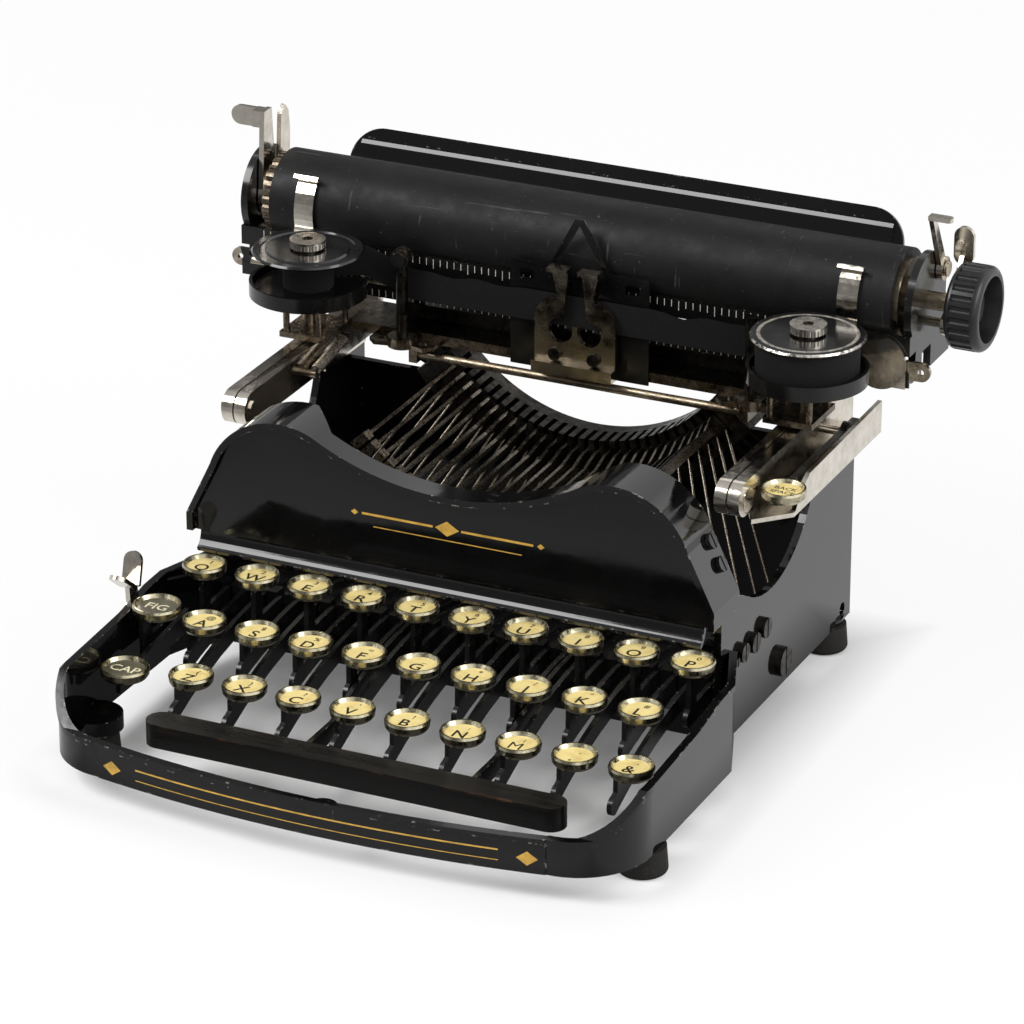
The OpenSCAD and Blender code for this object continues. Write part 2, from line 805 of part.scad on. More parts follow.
// Folding bed: two arms, the cross plate with its lift pins, front rod, spool plates and ribbon posts
front_rod_r = 1.5;
front_rod_z = 82.9;
front_rod_y = bed_front_y - 0.9;
peg_spots = [[38.5, 86.3], [64, 90.4]];
ribbon_post_x = 63;
ribbon_post_top = 118.5;
bracket_t = 1.4;
module carriage_bed() {
    color("#8e8474")
        difference() {
            union() {
                both_sides() {
                    along_x(arm_x, arm_t)
                        arm_side(arm_rear_y);
                    translate([lift_x, lift_y, bed_z])
                        cylinder(h = lift_top - bed_z, r = lift_r);
                    translate([60 - 1.5, front_rod_y - 2.4, front_rod_z - 2.4])
                        cube([3, 8, bed_z - front_rod_z + 2.4 + join]);
                    translate([spool_x - 11, spool_y - 10, deck_z - deck_t])
                        cube([17, 20, deck_t]);
                    translate([arm_x, spool_y - 7, fold_z + arm_half - join])
                        cube([arm_t, 14, deck_z - 1 - fold_z - arm_half + join]);
                    translate([ribbon_post_x, ribbon_y - 3, bed_z + 1])
                        cylinder(h = ribbon_post_top - bed_z - 1, r = 2);
                    post_bracket();
                    translate([ribbon_post_x, ribbon_y - 3, bed_z])
                        cylinder(h = bed_t, r = 5);
                }
                translate([-arm_x - join, bed_front_y, bed_z])
                    cube([2 * arm_x + 2 * join, arm_rear_y - bed_front_y, bed_t]);
                rod_x(-60, 120, front_rod_y, front_rod_z, front_rod_r);
                rod_y(ribbon_y - 5.4, 4.2, -ribbon_post_x, ribbon_post_top, 3.3);
                rod_y(ribbon_y - 6.2, 4.2, -ribbon_post_x, ribbon_post_top, 2.6);
                for (p = peg_spots)
                    rod_x(-arm_x - join, 4.2 + join, p[0], p[1], 1.2);
                translate([-drum_x - 4, arm_rear_y - join, drum_z - 4])
                    cube([8, 3 + join, bed_z - drum_z + 4 + bed_t]);
                rod_y(arm_rear_y, drum_len + 4.5, -drum_x, drum_z, 2);
            }
            both_sides()
                rod_x(arm_x - 1, arm_t + 2, fold_y, fold_z, pin_r + run_gap);
        }
}

// Wavy bracket round the foot of a ribbon post, with two holes
module post_bracket() {
    x = ribbon_post_x;
    y = bed_front_y + 0.5;
    translate([0, 0, bed_z])
        linear_extrude(bracket_t)
            difference() {
                polygon([[x - 12, y], [x - 12, y - 6], [x - 9, y - 9], [x - 3, y - 7.8], [x + 3, y - 7.8],
                    [x + 9, y - 9], [x + 12, y - 6], [x + 12, y]]);
                for (s = [-1, 1])
                    translate([x + s * 7.5, y - 5])
                        circle(1.6);
            }
}

// Drum of the mainspring that pulls the carriage
drum_x = 64;
drum_z = 80;
drum_len = 10;
drum_r = 12;
module mainspring_drum() {
    y = arm_rear_y + 3 + seat;
    color("#2b2a28")
        translate([-drum_x, y, drum_z])
            rotate([-90, 0, 0])
                difference() {
                    union() {
                        cylinder(h = 1.2, r = drum_r);
                        cylinder(h = drum_len, r = drum_r - 2);
                        translate([0, 0, drum_len - 1.2])
                            cylinder(h = 1.2, r = drum_r);
                    }
                    translate([0, 0, -1])
                        cylinder(h = drum_len + 2, r = 2 + run_gap);
                    for (a = [0 : 60 : 300])
                        rotate([0, 0, a])
                            translate([drum_r - 6, 0, drum_len - 1])
                                cylinder(h = 2, r = 1.6);
                }
}

// Two shallow cups on pillars, each with a mouth for the ribbon, and the spindles of the spools
sleeve_r = 3.4;
pillar_r = 1.1;
pillar_spots = [[-9.2, -8.2], [-9.2, 8.2], [4.2, -8.2], [4.2, 8.2]];
module spool_cups() {
    color("#151515")
        both_sides()
            translate([spool_x, spool_y, 0]) {
                translate([0, 0, cup_z])
                    difference() {
                        cylinder(h = cup_h, r = cup_r, $fn = 96);
                        translate([0, 0, cup_floor])
                            cylinder(h = 20, r = cup_r - cup_wall, $fn = 96);
                        translate([0, 0, -1])
                            cylinder(h = 10, r = sleeve_r + seat);
                        translate([-17, 9, cup_floor + 0.6])
                            cube([11, 14, 20]);
                    }
                for (p = pillar_spots)
                    translate([p[0], p[1], deck_z])
                        cylinder(h = cup_z - deck_z + 0.5, r = pillar_r);
                translate([0, 0, deck_z])
                    cylinder(h = flange_top - deck_z + 1.5, r = spindle_r);
            }
}

// Ribbon spool: two flanges, wound ribbon of radius pack, a knurled nut, and a toothed wheel under the cup
star_r = 7.7;
star_top = cup_z - 1.4;
star_t = 2.2;
module spool(pack) {
    translate([0, spool_y, 0])
        difference() {
            union() {
                translate([0, 0, flange_bottom])
                    cylinder(h = 1.2, r = cup_r - cup_wall - 0.8, $fn = 96);
                translate([0, 0, flange_bottom])
                    cylinder(h = flange_top - flange_bottom, r = pack, $fn = 96);
                translate([0, 0, star_top - star_t])
                    cylinder(h = flange_bottom - star_top + star_t + join, r = sleeve_r);
                translate([0, 0, star_top - star_t])
                    difference() {
                        cylinder(h = star_t, r = star_r);
                        for (a = [0 : 36 : 324])
                            rotate([0, 0, a])
                                translate([star_r + 0.4, 0, -1])
                                    cylinder(h = star_t + 2, r = 1.7);
                    }
                translate([0, 0, flange_top - 1.3])
                    rotate_extrude($fn = 96)
                        polygon([[0, 0], [spool_r - 0.5, 0], [spool_r, 0.6], [spool_r - 0.5, 1.3],
                            [spool_r - 2.6, 1.3], [spool_r - 3.1, 0.8], [spool_r - 4.6, 0.8],
                            [spool_r - 5.2, 1.3], [0, 1.3]]);
                translate([0, 0, flange_top])
                    cylinder(h = 1, r = 3.2);
                translate([0, 0, flange_top + 0.8])
                    difference() {
                        cylinder(h = 2.6, r = 6);
                        for (a = [0 : 12 : 348])
                            rotate([0, 0, a])
                                translate([6.1, 0, -1])
                                    cylinder(h = 2.8, r = 0.35, $fn = 8);
                    }
            }
            translate([0, 0, star_top - star_t - 1])
                cylinder(h = flange_top - star_top + star_t + 2.8, r = spindle_r + run_gap);
            translate([0, 0, flange_top + 1.6])
                cylinder(h = 4, r = 1.8);
        }
}

left_pack = 8.5;
right_pack = 16.8;
module left_spool() {
    color("#1d1d1d")
        translate([-spool_x, 0, 0])
            spool(left_pack);
}

module right_spool() {
    color("#1d1d1d")
        translate([spool_x, 0, 0])
            spool(right_pack);
}

// Inked ribbon from spool to spool, round the two posts and across behind the type guide
module ribbon() {
    post = [ribbon_post_x, ribbon_y - 3];
    wrap = 2 + seat;
    left_end = [-spool_x + 3, spool_y + left_pack + 1.2];
    right_end = [spool_x - 7, spool_y + right_pack - 0.5];
    path = [left_end, [-post[0] - 1.5, ribbon_y - 0.9], [-post[0] + 3, ribbon_y],
        [post[0] - 3, ribbon_y], [post[0] + 1.5, ribbon_y - 0.6], right_end];
    low = [[-spool_x - 5, ribbon_z], [-post[0] - 12, ribbon_z], [-post[0] + 2, ribbon_low],
        [post[0] - 2, ribbon_low], [post[0] + 13, ribbon_z], [spool_x + 5, ribbon_z]];
    color("#0c0c0c")
        intersection() {
            translate([0, 0, ribbon_low - 5])
                linear_extrude(ribbon_z - ribbon_low + ribbon_w + 10)
                    polygon(concat([for (p = path) p - [0, ribbon_t / 2]],
                        [for (k = [len(path) - 1 : -1 : 0]) path[k] + [0, ribbon_t / 2]]));
            along_y(spool_y - 5, 40)
                polygon(concat(low, [for (k = [len(low) - 1 : -1 : 0]) low[k] + [0, ribbon_w]]));
        }
}

// Ornate plate that guides each type to the printing point
guide_y = 72.4;
guide_t = 1.8;
module type_guide() {
    base_z = bed_z + 1;
    color("#c8c0b0") {
        along_y(guide_y, guide_t)
            difference() {
                union() {
                    translate([-14.5, base_z])
                        square([29, 14]);
                    for (s = [-1, 1]) {
                        translate([s * 6, base_z + 17])
                            circle(8.6);
                        polygon([[s * 14.4, base_z + 15], [s * 6, base_z + 25], [s * 8.6, base_z + 36],
                            [s * 2.4, base_z + 36], [s * 2.2, base_z + 15]]);
                    }
                }
                for (s = [-1, 1])
                    translate([s * 5.2, base_z + 14])
                        circle(4.3);
                polygon([[-4.6, base_z + 16], [4.6, base_z + 16], [1.8, base_z + 40], [-1.8, base_z + 40]]);
            }
        for (s = [-1, 1])
            translate([s * 5.5 - 3.6, guide_y - 2.6, base_z + 35])
                cube([7.2, 2.6 + guide_t, 1.4]);
        translate([-14.5, guide_y - 3, base_z - 1])
            cube([29, card_y - seat - guide_y + 3, 4]);
        for (s = [-1, 1])
            rod_y(guide_y - 1.2, 1.5, s * 7, base_z + 5.5, 2.2);
    }
}

// Thin black card guide with its pointed frame over the printing point
card_y = 76;
card_t = 0.6;
card_top = 123;
module card_guide() {
    color("#121212")
        along_y(card_y, card_t)
            difference() {
                polygon([[-25, bed_z - 1], [25, bed_z - 1], [25, card_top], [10.8, card_top], [1.6, 140.4],
                    [-1.6, 140.4], [-10.8, card_top], [-25, card_top]]);
                polygon([[-9, 122.6], [0, 138.2], [9, 122.6], [9, 119], [-9, 119]]);
                translate([-12, bed_z + 9])
                    square([24, 9]);
                for (s = [-1, 1])
                    translate([s * 19 - 2.5, 117])
                        square([5, 3.2]);
            }
}

// Coil spring beside the left arm
spring_wire = 0.32;
spring_r = 1.5;
spring_turns = 20;
spring_rings = 8;
spring_sides = 6;
spring_from = [-arm_x + 2.6, peg_spots[0][0] + 2.2, peg_spots[0][1] + 0.3];
spring_to = [-arm_x + 2.6, peg_spots[1][0] - 2.2, peg_spots[1][1] - 0.4];
spring_len = norm(spring_to - spring_from);
spring_count = spring_turns * spring_rings;
function spring_point(k) = let (a = 360 * k / spring_rings)
    [spring_r * cos(a), spring_r * sin(a), spring_len * k / spring_count];
spring_mid = concat([[spring_r, 0, -2 * spring_wire]], [for (k = [0 : spring_count]) spring_point(k)],
    [[spring_r, 0, spring_len + 2 * spring_wire]]);
function spring_way(k) = let (n = len(spring_mid) - 1, d = k == 0 || k == n ? [0, 0, 1]
    : spring_mid[min(k + 1, n)] - spring_mid[max(k - 1, 0)]) d / norm(d);
function spring_ring(k) = let (t = spring_way(k), c = spring_mid[k],
        u0 = [c[0], c[1], 0] / norm([c[0], c[1]]), u1 = u0 - (u0 * t) * t, u = u1 / norm(u1), v = cross(t, u))
    [for (j = [0 : spring_sides - 1]) let (a = 360 * j / spring_sides)
        c + spring_wire * (cos(a) * u + sin(a) * v)];
spring_gap = min([for (k = [1 : spring_rings + 4]) norm(spring_point(spring_rings + 4)
    - spring_point(spring_rings + 4 + spring_rings - 4 + k))]) - 2 * spring_wire;
echo(least_spring_gap = spring_gap);
module arm_spring() {
    n = len(spring_mid);
    s = spring_sides;
    points = [for (k = [0 : n - 1]) each spring_ring(k)];
    side_a = [for (k = [0 : n - 2], j = [0 : s - 1]) [k * s + j, (k + 1) * s + j, (k + 1) * s + (j + 1) % s]];
    side_b = [for (k = [0 : n - 2], j = [0 : s - 1]) [k * s + j, (k + 1) * s + (j + 1) % s, k * s + (j + 1) % s]];
    cap_a = [for (j = [1 : s - 2]) [0, j, j + 1]];
    cap_b = [for (j = [1 : s - 2]) [(n - 1) * s, (n - 1) * s + j + 1, (n - 1) * s + j]];
    d = spring_to - spring_from;
    color("#8b857a")
        translate(spring_from)
            rotate([0, acos(d[2] / norm(d)), atan2(d[1], d[0])])
                polyhedron(points = points, faces = concat(side_a, side_b, cap_a, cap_b));
}

// Lifting frame: beam on the lift pins, with the bearing block of the carriage rods
module shift_frame() {
    color("#5b544a")
        difference() {
            union() {
                translate([-lift_x - 6, lift_y - 6, beam_bottom])
                    cube([2 * lift_x + 12, 12, beam_top - beam_bottom]);
                translate([-block_half, scale_y + scale_t + seat, beam_bottom + 4])
                    cube([2 * block_half, rod_ys[1] + 4.2 - scale_y - scale_t - seat, rod_z + 0.5 - beam_bottom]);
            }
            both_sides()
                translate([lift_x, lift_y, 0])
                    cylinder(h = 200, r = lift_r + run_gap);
            for (y = rod_ys)
                rod_x(-block_half - 1, 2 * block_half + 2, y, rod_z, rod_r + run_gap);
            rod_x(-block_half - 1, 2 * block_half + 2, platen_y, platen_z, platen_r + 1);
        }
}

// Side view of a carriage end plate: disc round the platen shaft, narrow neck and foot on the rods
module end_plate_side() {
    difference() {
        union() {
            translate([platen_y, platen_z])
                circle(platen_r);
            polygon([[platen_y - 9, platen_z - 6], [rod_ys[0] + 2, rod_z + 3], [rod_ys[0], rod_z - rod_r - 0.4],
                [rod_ys[1] + 8, rod_z - rod_r - 0.4], [rod_ys[1] + 8, rod_z + 6], [platen_y + 15, platen_z]]);
            for (y = rod_ys)
                translate([y, rod_z])
                    circle(rod_r + 0.4);
        }
        translate([lift_y - 4, rod_z - 12])
            square([8, lift_top + 1 - rod_z + 12]);
        translate([platen_y, platen_z])
            circle(platen_shaft_r + run_gap);
    }
}

// Carriage: end plates with their tabs, two rods, upper and lower scale strips, rear bar and lever boss
scale_z = 110.8;
scale_h = 6.6;
scale_t = 0.8;
scale_y = platen_y - platen_r + 0.1;
low_scale_z = 99.9;
low_scale_h = 4.3;
rear_bar_y = 111.6;
boss_r = 6;
boss_len = 3.8;
tab_h = 6.4;
tab_t = 1.4;
module end_tab(x0, len, tip) {
    along_y(scale_y + 0.1, tab_t)
        difference() {
            union() {
                translate([x0, rod_z - 1.2])
                    square([len, tab_h]);
                translate([tip, rod_z - 1.2 + tab_h / 2])
                    circle(tab_h / 2);
            }
            translate([tip, rod_z - 1.2 + tab_h / 2])
                circle(1.1);
        }
}

module carriage_frame() {
    span = right_plate_x - left_plate_x;
    color("#161616") {
        for (x = [left_plate_x, right_plate_x])
            along_x(x, plate_t)
                end_plate_side();
        for (y = rod_ys)
            rod_x(left_plate_x, span + plate_t, y, rod_z, rod_r);
        translate([left_plate_x, scale_y, scale_z])
            cube([span + plate_t, scale_t, scale_h]);
        translate([left_plate_x, scale_y, low_scale_z])
            cube([span + plate_t, scale_t, low_scale_h]);
        for (x = [left_plate_x, right_plate_x])
            translate([x, scale_y, scale_z])
                cube([plate_t, 6, scale_h]);
        end_tab(left_plate_x - 0.6, 3.4, left_plate_x - 0.6);
        end_tab(right_plate_x, 6.4, right_plate_x + 6.4);
        translate([left_plate_x, rear_bar_y, rod_z])
            cube([span + plate_t, 2.5, 7]);
        difference() {
            rod_x(left_plate_x + plate_t - join, boss_len + join, platen_y, platen_z, boss_r);
            rod_x(left_plate_x, plate_t + boss_len + 2, platen_y, platen_z, platen_shaft_r + run_gap);
        }
        plate_stud(release_y, release_z, seat + 2);
        plate_stud(free_y, free_z, free_off + 2);
    }
}

// Headed stud on the right end plate, with room of length len under its head
module plate_stud(y, z, len) {
    x = right_plate_x + plate_t;
    rod_x(x - join, len + seat + join, y, z, stud_r);
    rod_x(x + len + seat, 0.8, y, z, stud_r + 1);
}

// Paper table: leaning sheet with round corners and a long fold, on two legs behind the rear bar
table_h = 21.3;
table_t = 1.4;
table_r = 12;
table_x = -3;
table_y = platen_y + platen_r + 1.4;
table_z = platen_z - 1;
leg_x = 70;
leg_y = rear_bar_y + 2.5 + 0.05;
module paper_table() {
    color("#131315") {
        translate([table_x, table_y, table_z])
            rotate([-table_lean, 0, 0]) {
                along_y(0, table_t) {
                    translate([-table_half, 0])
                        square([2 * table_half, table_h - table_r]);
                    translate([-table_half + table_r, 0])
                        square([2 * (table_half - table_r), table_h]);
                    for (s = [-1, 1])
                        translate([s * (table_half - table_r), table_h - table_r])
                            circle(table_r);
                }
                along_x(-table_half + 4, 2 * table_half - 8)
                    polygon([[-1.5, 4], [-1.5, table_h - 6], [-1.1, table_h - 4.6], [0.2, table_h - 3.8], [0.2, 3]]);
            }
        for (s = [-1, 1])
            along_x(table_x + s * leg_x - 5, 10)
                polygon([[leg_y, rod_z], [leg_y + 2, rod_z], [leg_y + 2, table_z + 7], [leg_y, table_z + 3.5]]);
    }
}

// Rubber platen roll
module platen() {
    color("#2c2a29")
        difference() {
            rod_x(platen_left, platen_right - platen_left, platen_y, platen_z, platen_r, $fn = 96);
            rod_x(platen_left - 1, platen_right - platen_left + 2, platen_y, platen_z, platen_shaft_r + 0.02);
        }
}

// Platen shaft with the ribbed knob on the right and the line-space ratchet on the left
ratchet_x = -119.8;
ratchet_t = 2.8;
ratchet_r = 14;
ratchet_teeth = 28;
knob_x = 124.5;
module platen_knob() {
    color("#1a1a1a") {
        rod_x(left_plate_x - 1.5, knob_x - left_plate_x + 4, platen_y, platen_z, platen_shaft_r);
        along_x(ratchet_x, ratchet_t)
            translate([platen_y, platen_z])
                difference() {
                    circle(ratchet_r);
                    for (k = [0 : ratchet_teeth - 1])
                        rotate(k * 360 / ratchet_teeth)
                            translate([ratchet_r, 0])
                                circle(0.95, $fn = 6);
                    circle(platen_shaft_r - 0.4);
                }
        rod_x(ratchet_x, platen_left - ratchet_x, platen_y, platen_z, 6);
        rod_x(platen_right + 0.02, 1.6, platen_y, platen_z, platen_r - 2.8);
        rod_x(platen_right + 0.02, 3.5, platen_y, platen_z, 6.5);
        translate([knob_x, platen_y, platen_z])
            rotate([0, 90, 0])
                difference() {
                    rotate_extrude($fn = 96)
                        polygon(concat([[0, 0], [knob_r - 2, 0]], arc([knob_r - 1.5, 2], 1.5, -90, 0, 4),
                            arc([knob_r - 2.2, knob_len - 2.2], 2.2, 0, 90, 6), [[knob_r - 3.2, knob_len],
                            [knob_r - 4.6, knob_len - 6.5], [knob_r - 8, knob_len - 7], [knob_r - 9.2, knob_len - 4],
                            [0, knob_len - 4]]));
                    for (a = [0 : 15 : 345])
                        rotate([0, 0, a])
                            translate([knob_r + 0.7, 0, 2.2])
                                cylinder(h = knob_len - 4.6, r = 1.4, $fn = 16);
                }
    }
}

// Line-space lever on the boss of the left end plate: arm with its thumb paddle, and a second finger piece
lever_gap = 0.4;
module line_space_lever() {
    x = left_plate_x + plate_t + lever_gap;
    hub = boss_len - lever_gap - 0.2;
    color("#c9c0ae") {
        difference() {
            union() {
                rod_x(x, hub, platen_y, platen_z, 9);
                along_x(x, 1.8)
                    polygon([[platen_y - 8.4, platen_z + 3], [platen_y + 1, platen_z + 3],
                        [platen_y - 1, platen_z + 30.5], [platen_y - 6.5, platen_z + 30.5]]);
                along_x(x + hub - 1.6, 1.6)
                    polygon([[platen_y + 1, platen_z + 3], [platen_y + 8.4, platen_z + 3],
                        [platen_y + 9.4, platen_z + 20], [platen_y + 8.4, platen_z + 27],
                        [platen_y + 6, platen_z + 29.6], [platen_y + 3.2, platen_z + 27], [platen_y + 2.4, platen_z + 18]]);
                translate([x - 3, platen_y - 6.3, platen_z + 24.5])
                    cube([4.8, 5, 5.8]);
                along_y(platen_y - 3, 1.5) {
                    translate([x - 9.2, platen_z + 23.4])
                        square([8, 6.8]);
                    translate([x - 9.2, platen_z + 26.8])
                        circle(3.4);
                }
            }
            rod_x(x - 10, hub + 20, platen_y, platen_z, boss_r + run_gap);
        }
    }
}

// Paper release: nickel crank on a stud of the right end plate
stud_r = 1.6;
release_y = platen_y + 9;
release_z = platen_z + 8;
module paper_release_lever() {
    x = right_plate_x + plate_t + seat;
    color("#c9c0ae")
        difference() {
            union() {
                rod_x(x, 2, release_y, release_z, 4);
                along_x(x, 1.6)
                    polygon([[release_y - 2.4, release_z], [release_y + 2.4, release_z],
                        [release_y - 10, release_z + 22], [release_y - 13, release_z + 22]]);
                translate([x, release_y - 13, release_z + 20.6])
                    cube([6.4, 3.2, 1.5]);
                translate([x + 6.4, release_y - 11.4, release_z + 20.6])
                    cylinder(h = 1.5, r = 1.6);
            }
            rod_x(x - 1, 4, release_y, release_z, stud_r + run_gap);
        }
}

// Carriage release: oval thumb piece behind the knob
free_y = platen_y + 4;
free_z = platen_z - 9;
free_off = 4;
module carriage_release_lever() {
    x = right_plate_x + plate_t + free_off;
    color("#a39a8b")
        difference() {
            union() {
                rod_x(x, 2, free_y, free_z, 4);
                along_x(x, 1.6)
                    polygon([[free_y - 2, free_z], [free_y + 3, free_z - 2], [free_y + 16, free_z + 14],
                        [free_y + 16, free_z + 19], [free_y + 13, free_z + 19]]);
                along_y(free_y + 13.6, 1.6) {
                    translate([x - 2.4, free_z + 18.8])
                        square([6.8, 6.4]);
                    for (z = [18.8, 25.2])
                        translate([x + 1, free_z + z])
                            circle(3.4);
                }
            }
            rod_x(x - 1, 4, free_y, free_z, stud_r + run_gap);
        }
}

// Sprung paper finger: clip in front of the scale strip, blade round the platen and a lip at its top
finger_w = 7;
finger_top = 137;
module paper_finger(x) {
    clip_y = scale_y - seat - 1;
    foot = scale_z + scale_h + 0.7;
    reach = platen_r + 0.5;
    low = asin((foot - platen_z) / reach);
    color("#d2cab8") {
        along_x(x - finger_w / 2, finger_w) {
            polygon(concat(arc([platen_y, platen_z], reach + 0.8, 180 - low - 8, finger_top),
                arc([platen_y, platen_z], reach, finger_top, 180 - low - 8)));
            polygon([[clip_y, scale_z + 1.4], [clip_y + 1, scale_z + 1.4], [clip_y + 1, foot - 0.2],
                [platen_y - reach * cos(low), foot], [platen_y - reach * cos(low + 9), platen_z + reach * sin(low + 9)],
                [clip_y, foot + 2.6]]);
        }
        along_x(x - finger_w / 2 - 1, finger_w + 2)
            polygon(concat(arc([platen_y, platen_z], reach + 3.2, finger_top + 4, finger_top, 3),
                arc([platen_y, platen_z], reach + 0.1, finger_top, finger_top + 3, 3)));
    }
}

// Tail of the right finger, broad and round, hanging in front of the scale strips
tail_r = 9.3;
module finger_tail(x) {
    neck = 11.5;
    along_y(scale_y - seat - 1, 1) {
        translate([x - finger_w / 2, low_scale_z + 2])
            square([finger_w, scale_z + 3 - low_scale_z]);
        translate([x, low_scale_z])
            square([neck, 8 + tail_r]);
        translate([x + neck - 0.1, low_scale_z])
            square([tail_r + 0.1, 8]);
        translate([x + neck, low_scale_z + 8])
            circle(tail_r);
    }
}

finger_left_x = -102.3;
finger_right_x = 93.4;
module left_paper_finger() {
    paper_finger(finger_left_x);
}

module right_paper_finger() {
    paper_finger(finger_right_x);
    color("#d2cab8")
        finger_tail(finger_right_x);
}

base_frame();
front_cowl();
rubber_feet();
frame_screws();
lever_guides();
type_segment();
typebars();
hinge_brackets();
shift_lock_lever();
carriage_bed();
spool_cups();
left_spool();
right_spool();
ribbon();
type_guide();
card_guide();
arm_spring();
shift_frame();
carriage_frame();
paper_table();
platen();
platen_knob();
line_space_lever();
paper_release_lever();
carriage_release_lever();
left_paper_finger();
right_paper_finger();
mainspring_drum();
key_fig();
key_cap();
space_bar();
back_space_key();
for (i = [0 : 27]) letter_key(i);
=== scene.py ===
import math

import bpy
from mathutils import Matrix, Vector


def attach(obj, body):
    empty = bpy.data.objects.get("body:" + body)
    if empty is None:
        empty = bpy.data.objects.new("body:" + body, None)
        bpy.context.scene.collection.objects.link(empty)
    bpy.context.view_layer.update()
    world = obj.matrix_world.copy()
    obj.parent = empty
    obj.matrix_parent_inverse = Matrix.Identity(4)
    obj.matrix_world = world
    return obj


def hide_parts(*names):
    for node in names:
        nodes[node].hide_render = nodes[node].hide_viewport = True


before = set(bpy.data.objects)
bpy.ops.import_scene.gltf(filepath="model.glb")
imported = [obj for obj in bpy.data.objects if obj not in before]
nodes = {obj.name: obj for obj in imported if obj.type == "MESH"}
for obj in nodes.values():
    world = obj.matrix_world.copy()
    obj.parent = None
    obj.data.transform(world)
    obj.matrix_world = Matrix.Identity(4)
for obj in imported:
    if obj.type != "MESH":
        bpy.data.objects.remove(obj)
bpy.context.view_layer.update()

MM = 0.001

# Sizes repeated from the part's source, in millimetres
LEVER_PITCH = 19.05 / 3
LEVER_SHIFT = 1.0
ROW_X = [0.4, 4.7, 4.4]
ROW_STEP = 20.65
ROW_RISE = 9.05
BACK_ROW_Y = -30.6
BACK_ROW_Z = 45.4
KEY_R = 7.3
SHIFT_R = 8.0
KEY_H = 3.6
DISC_DEPTH = 1.2
SHIFT_X = -89.7
FIG_Y, FIG_TOP = -53.3, 39.3
CAP_Y, CAP_TOP = -75.3, 26.8
BACK_X, BACK_Y, BACK_TOP = 98.8, 13.2, 88.4
RIBBON_HIGH = 110.8
RIBBON_LOW = 102.7
RIBBON_W = 11.0
SPOOL_X = 89.2
SPOOL_Y = 55.0
SPOOL_R = 18.8
FLANGE_TOP = 123.4
FLANGE_BOTTOM = 109.3
SCALE_Y = 78.6
SCALE_TOP = 117.4
LOW_SCALE_Z = 99.9
BOW_Y = 314.0
BOW_R = 438.0
COWL_Y = -25.0
BAR_HALF = 70.0
BAR_BACK = -90.4
BAR_FOOT = 13.9
ROD_Y, ROD_Z, ROD_R = 76.0, 82.9, 1.8
ROD_HALF = 60.1
ARM_X = 82.2
ARM_TOP = 93.6
POST_X = 63
CUP_FOOT = 107.5
SLIDE_ROD_Z = 104
SLIDE_ROD_Y = (82, 107)

# Sizes of the printed marks, in millimetres
INK_LIFT = 0.04
LINE_LIFT = 0.05
LETTER_SIZE = 6.3
FIGURE_SIZE = 3.2
SHIFT_WORD_SIZE = 5.6
BACK_WORD_SIZE = 2.9
SCALE_FIGURE_SIZE = 2.0
LETTER_WEIGHT = 0.012
TICK_START = -118.0
TICK_STEP = 2.54
TICK_COUNT = 89
TICK_HALF = 0.14


# Shader helpers
def start(name):
    m = bpy.data.materials.new(name)
    m.use_nodes = True
    tree = m.node_tree
    return m, tree, tree.nodes["Principled BSDF"]


def noise(tree, scale, detail=4.0, rough=0.6, stretch=None):
    coord = tree.nodes.new("ShaderNodeTexCoord")
    tex = tree.nodes.new("ShaderNodeTexNoise")
    tex.inputs["Scale"].default_value = scale
    tex.inputs["Detail"].default_value = detail
    tex.inputs["Roughness"].default_value = rough
    if stretch:
        mapping = tree.nodes.new("ShaderNodeMapping")
        mapping.inputs["Scale"].default_value = stretch
        tree.links.new(coord.outputs["Object"], mapping.inputs["Vector"])
        tree.links.new(mapping.outputs["Vector"], tex.inputs["Vector"])
    else:
        tree.links.new(coord.outputs["Object"], tex.inputs["Vector"])
    return tex.outputs["Fac"]


def ramp(tree, fac, stops):
    node = tree.nodes.new("ShaderNodeValToRGB")
    points = node.color_ramp.elements
    while len(points) < len(stops):
        points.new(0.5)
    for p, (pos, col) in zip(points, stops):
        p.position = pos
        p.color = (*col, 1)
    tree.links.new(fac, node.inputs["Fac"])
    return node.outputs["Color"]


def level(tree, fac, low, high, a=0.35, b=0.65):
    node = tree.nodes.new("ShaderNodeMapRange")
    node.inputs["From Min"].default_value = a
    node.inputs["From Max"].default_value = b
    node.inputs["To Min"].default_value = low
    node.inputs["To Max"].default_value = high
    tree.links.new(fac, node.inputs["Value"])
    return node.outputs["Result"]


def mix(tree, fac, a, b):
    node = tree.nodes.new("ShaderNodeMix")
    node.data_type = "RGBA"
    tree.links.new(fac, node.inputs["Factor"])
    for value, name in ((a, "A"), (b, "B")):
        socket = [s for s in node.inputs if s.name == name and s.type == "RGBA"][0]
        if isinstance(value, tuple):
            socket.default_value = (*value, 1)
        else:
            tree.links.new(value, socket)
    return [s for s in node.outputs if s.type == "RGBA"][0]


def calc(tree, op, a, b):
    node = tree.nodes.new("ShaderNodeMath")
    node.operation = op
    for k, value in enumerate((a, b)):
        if isinstance(value, (int, float)):
            node.inputs[k].default_value = value
        else:
            tree.links.new(value, node.inputs[k])
    return node.outputs["Value"]


def bump(tree, shader, height, strength, distance):
    node = tree.nodes.new("ShaderNodeBump")
    node.inputs["Strength"].default_value = strength
    node.inputs["Distance"].default_value = distance
    tree.links.new(height, node.inputs["Height"])
    tree.links.new(node.outputs["Normal"], shader.inputs["Normal"])


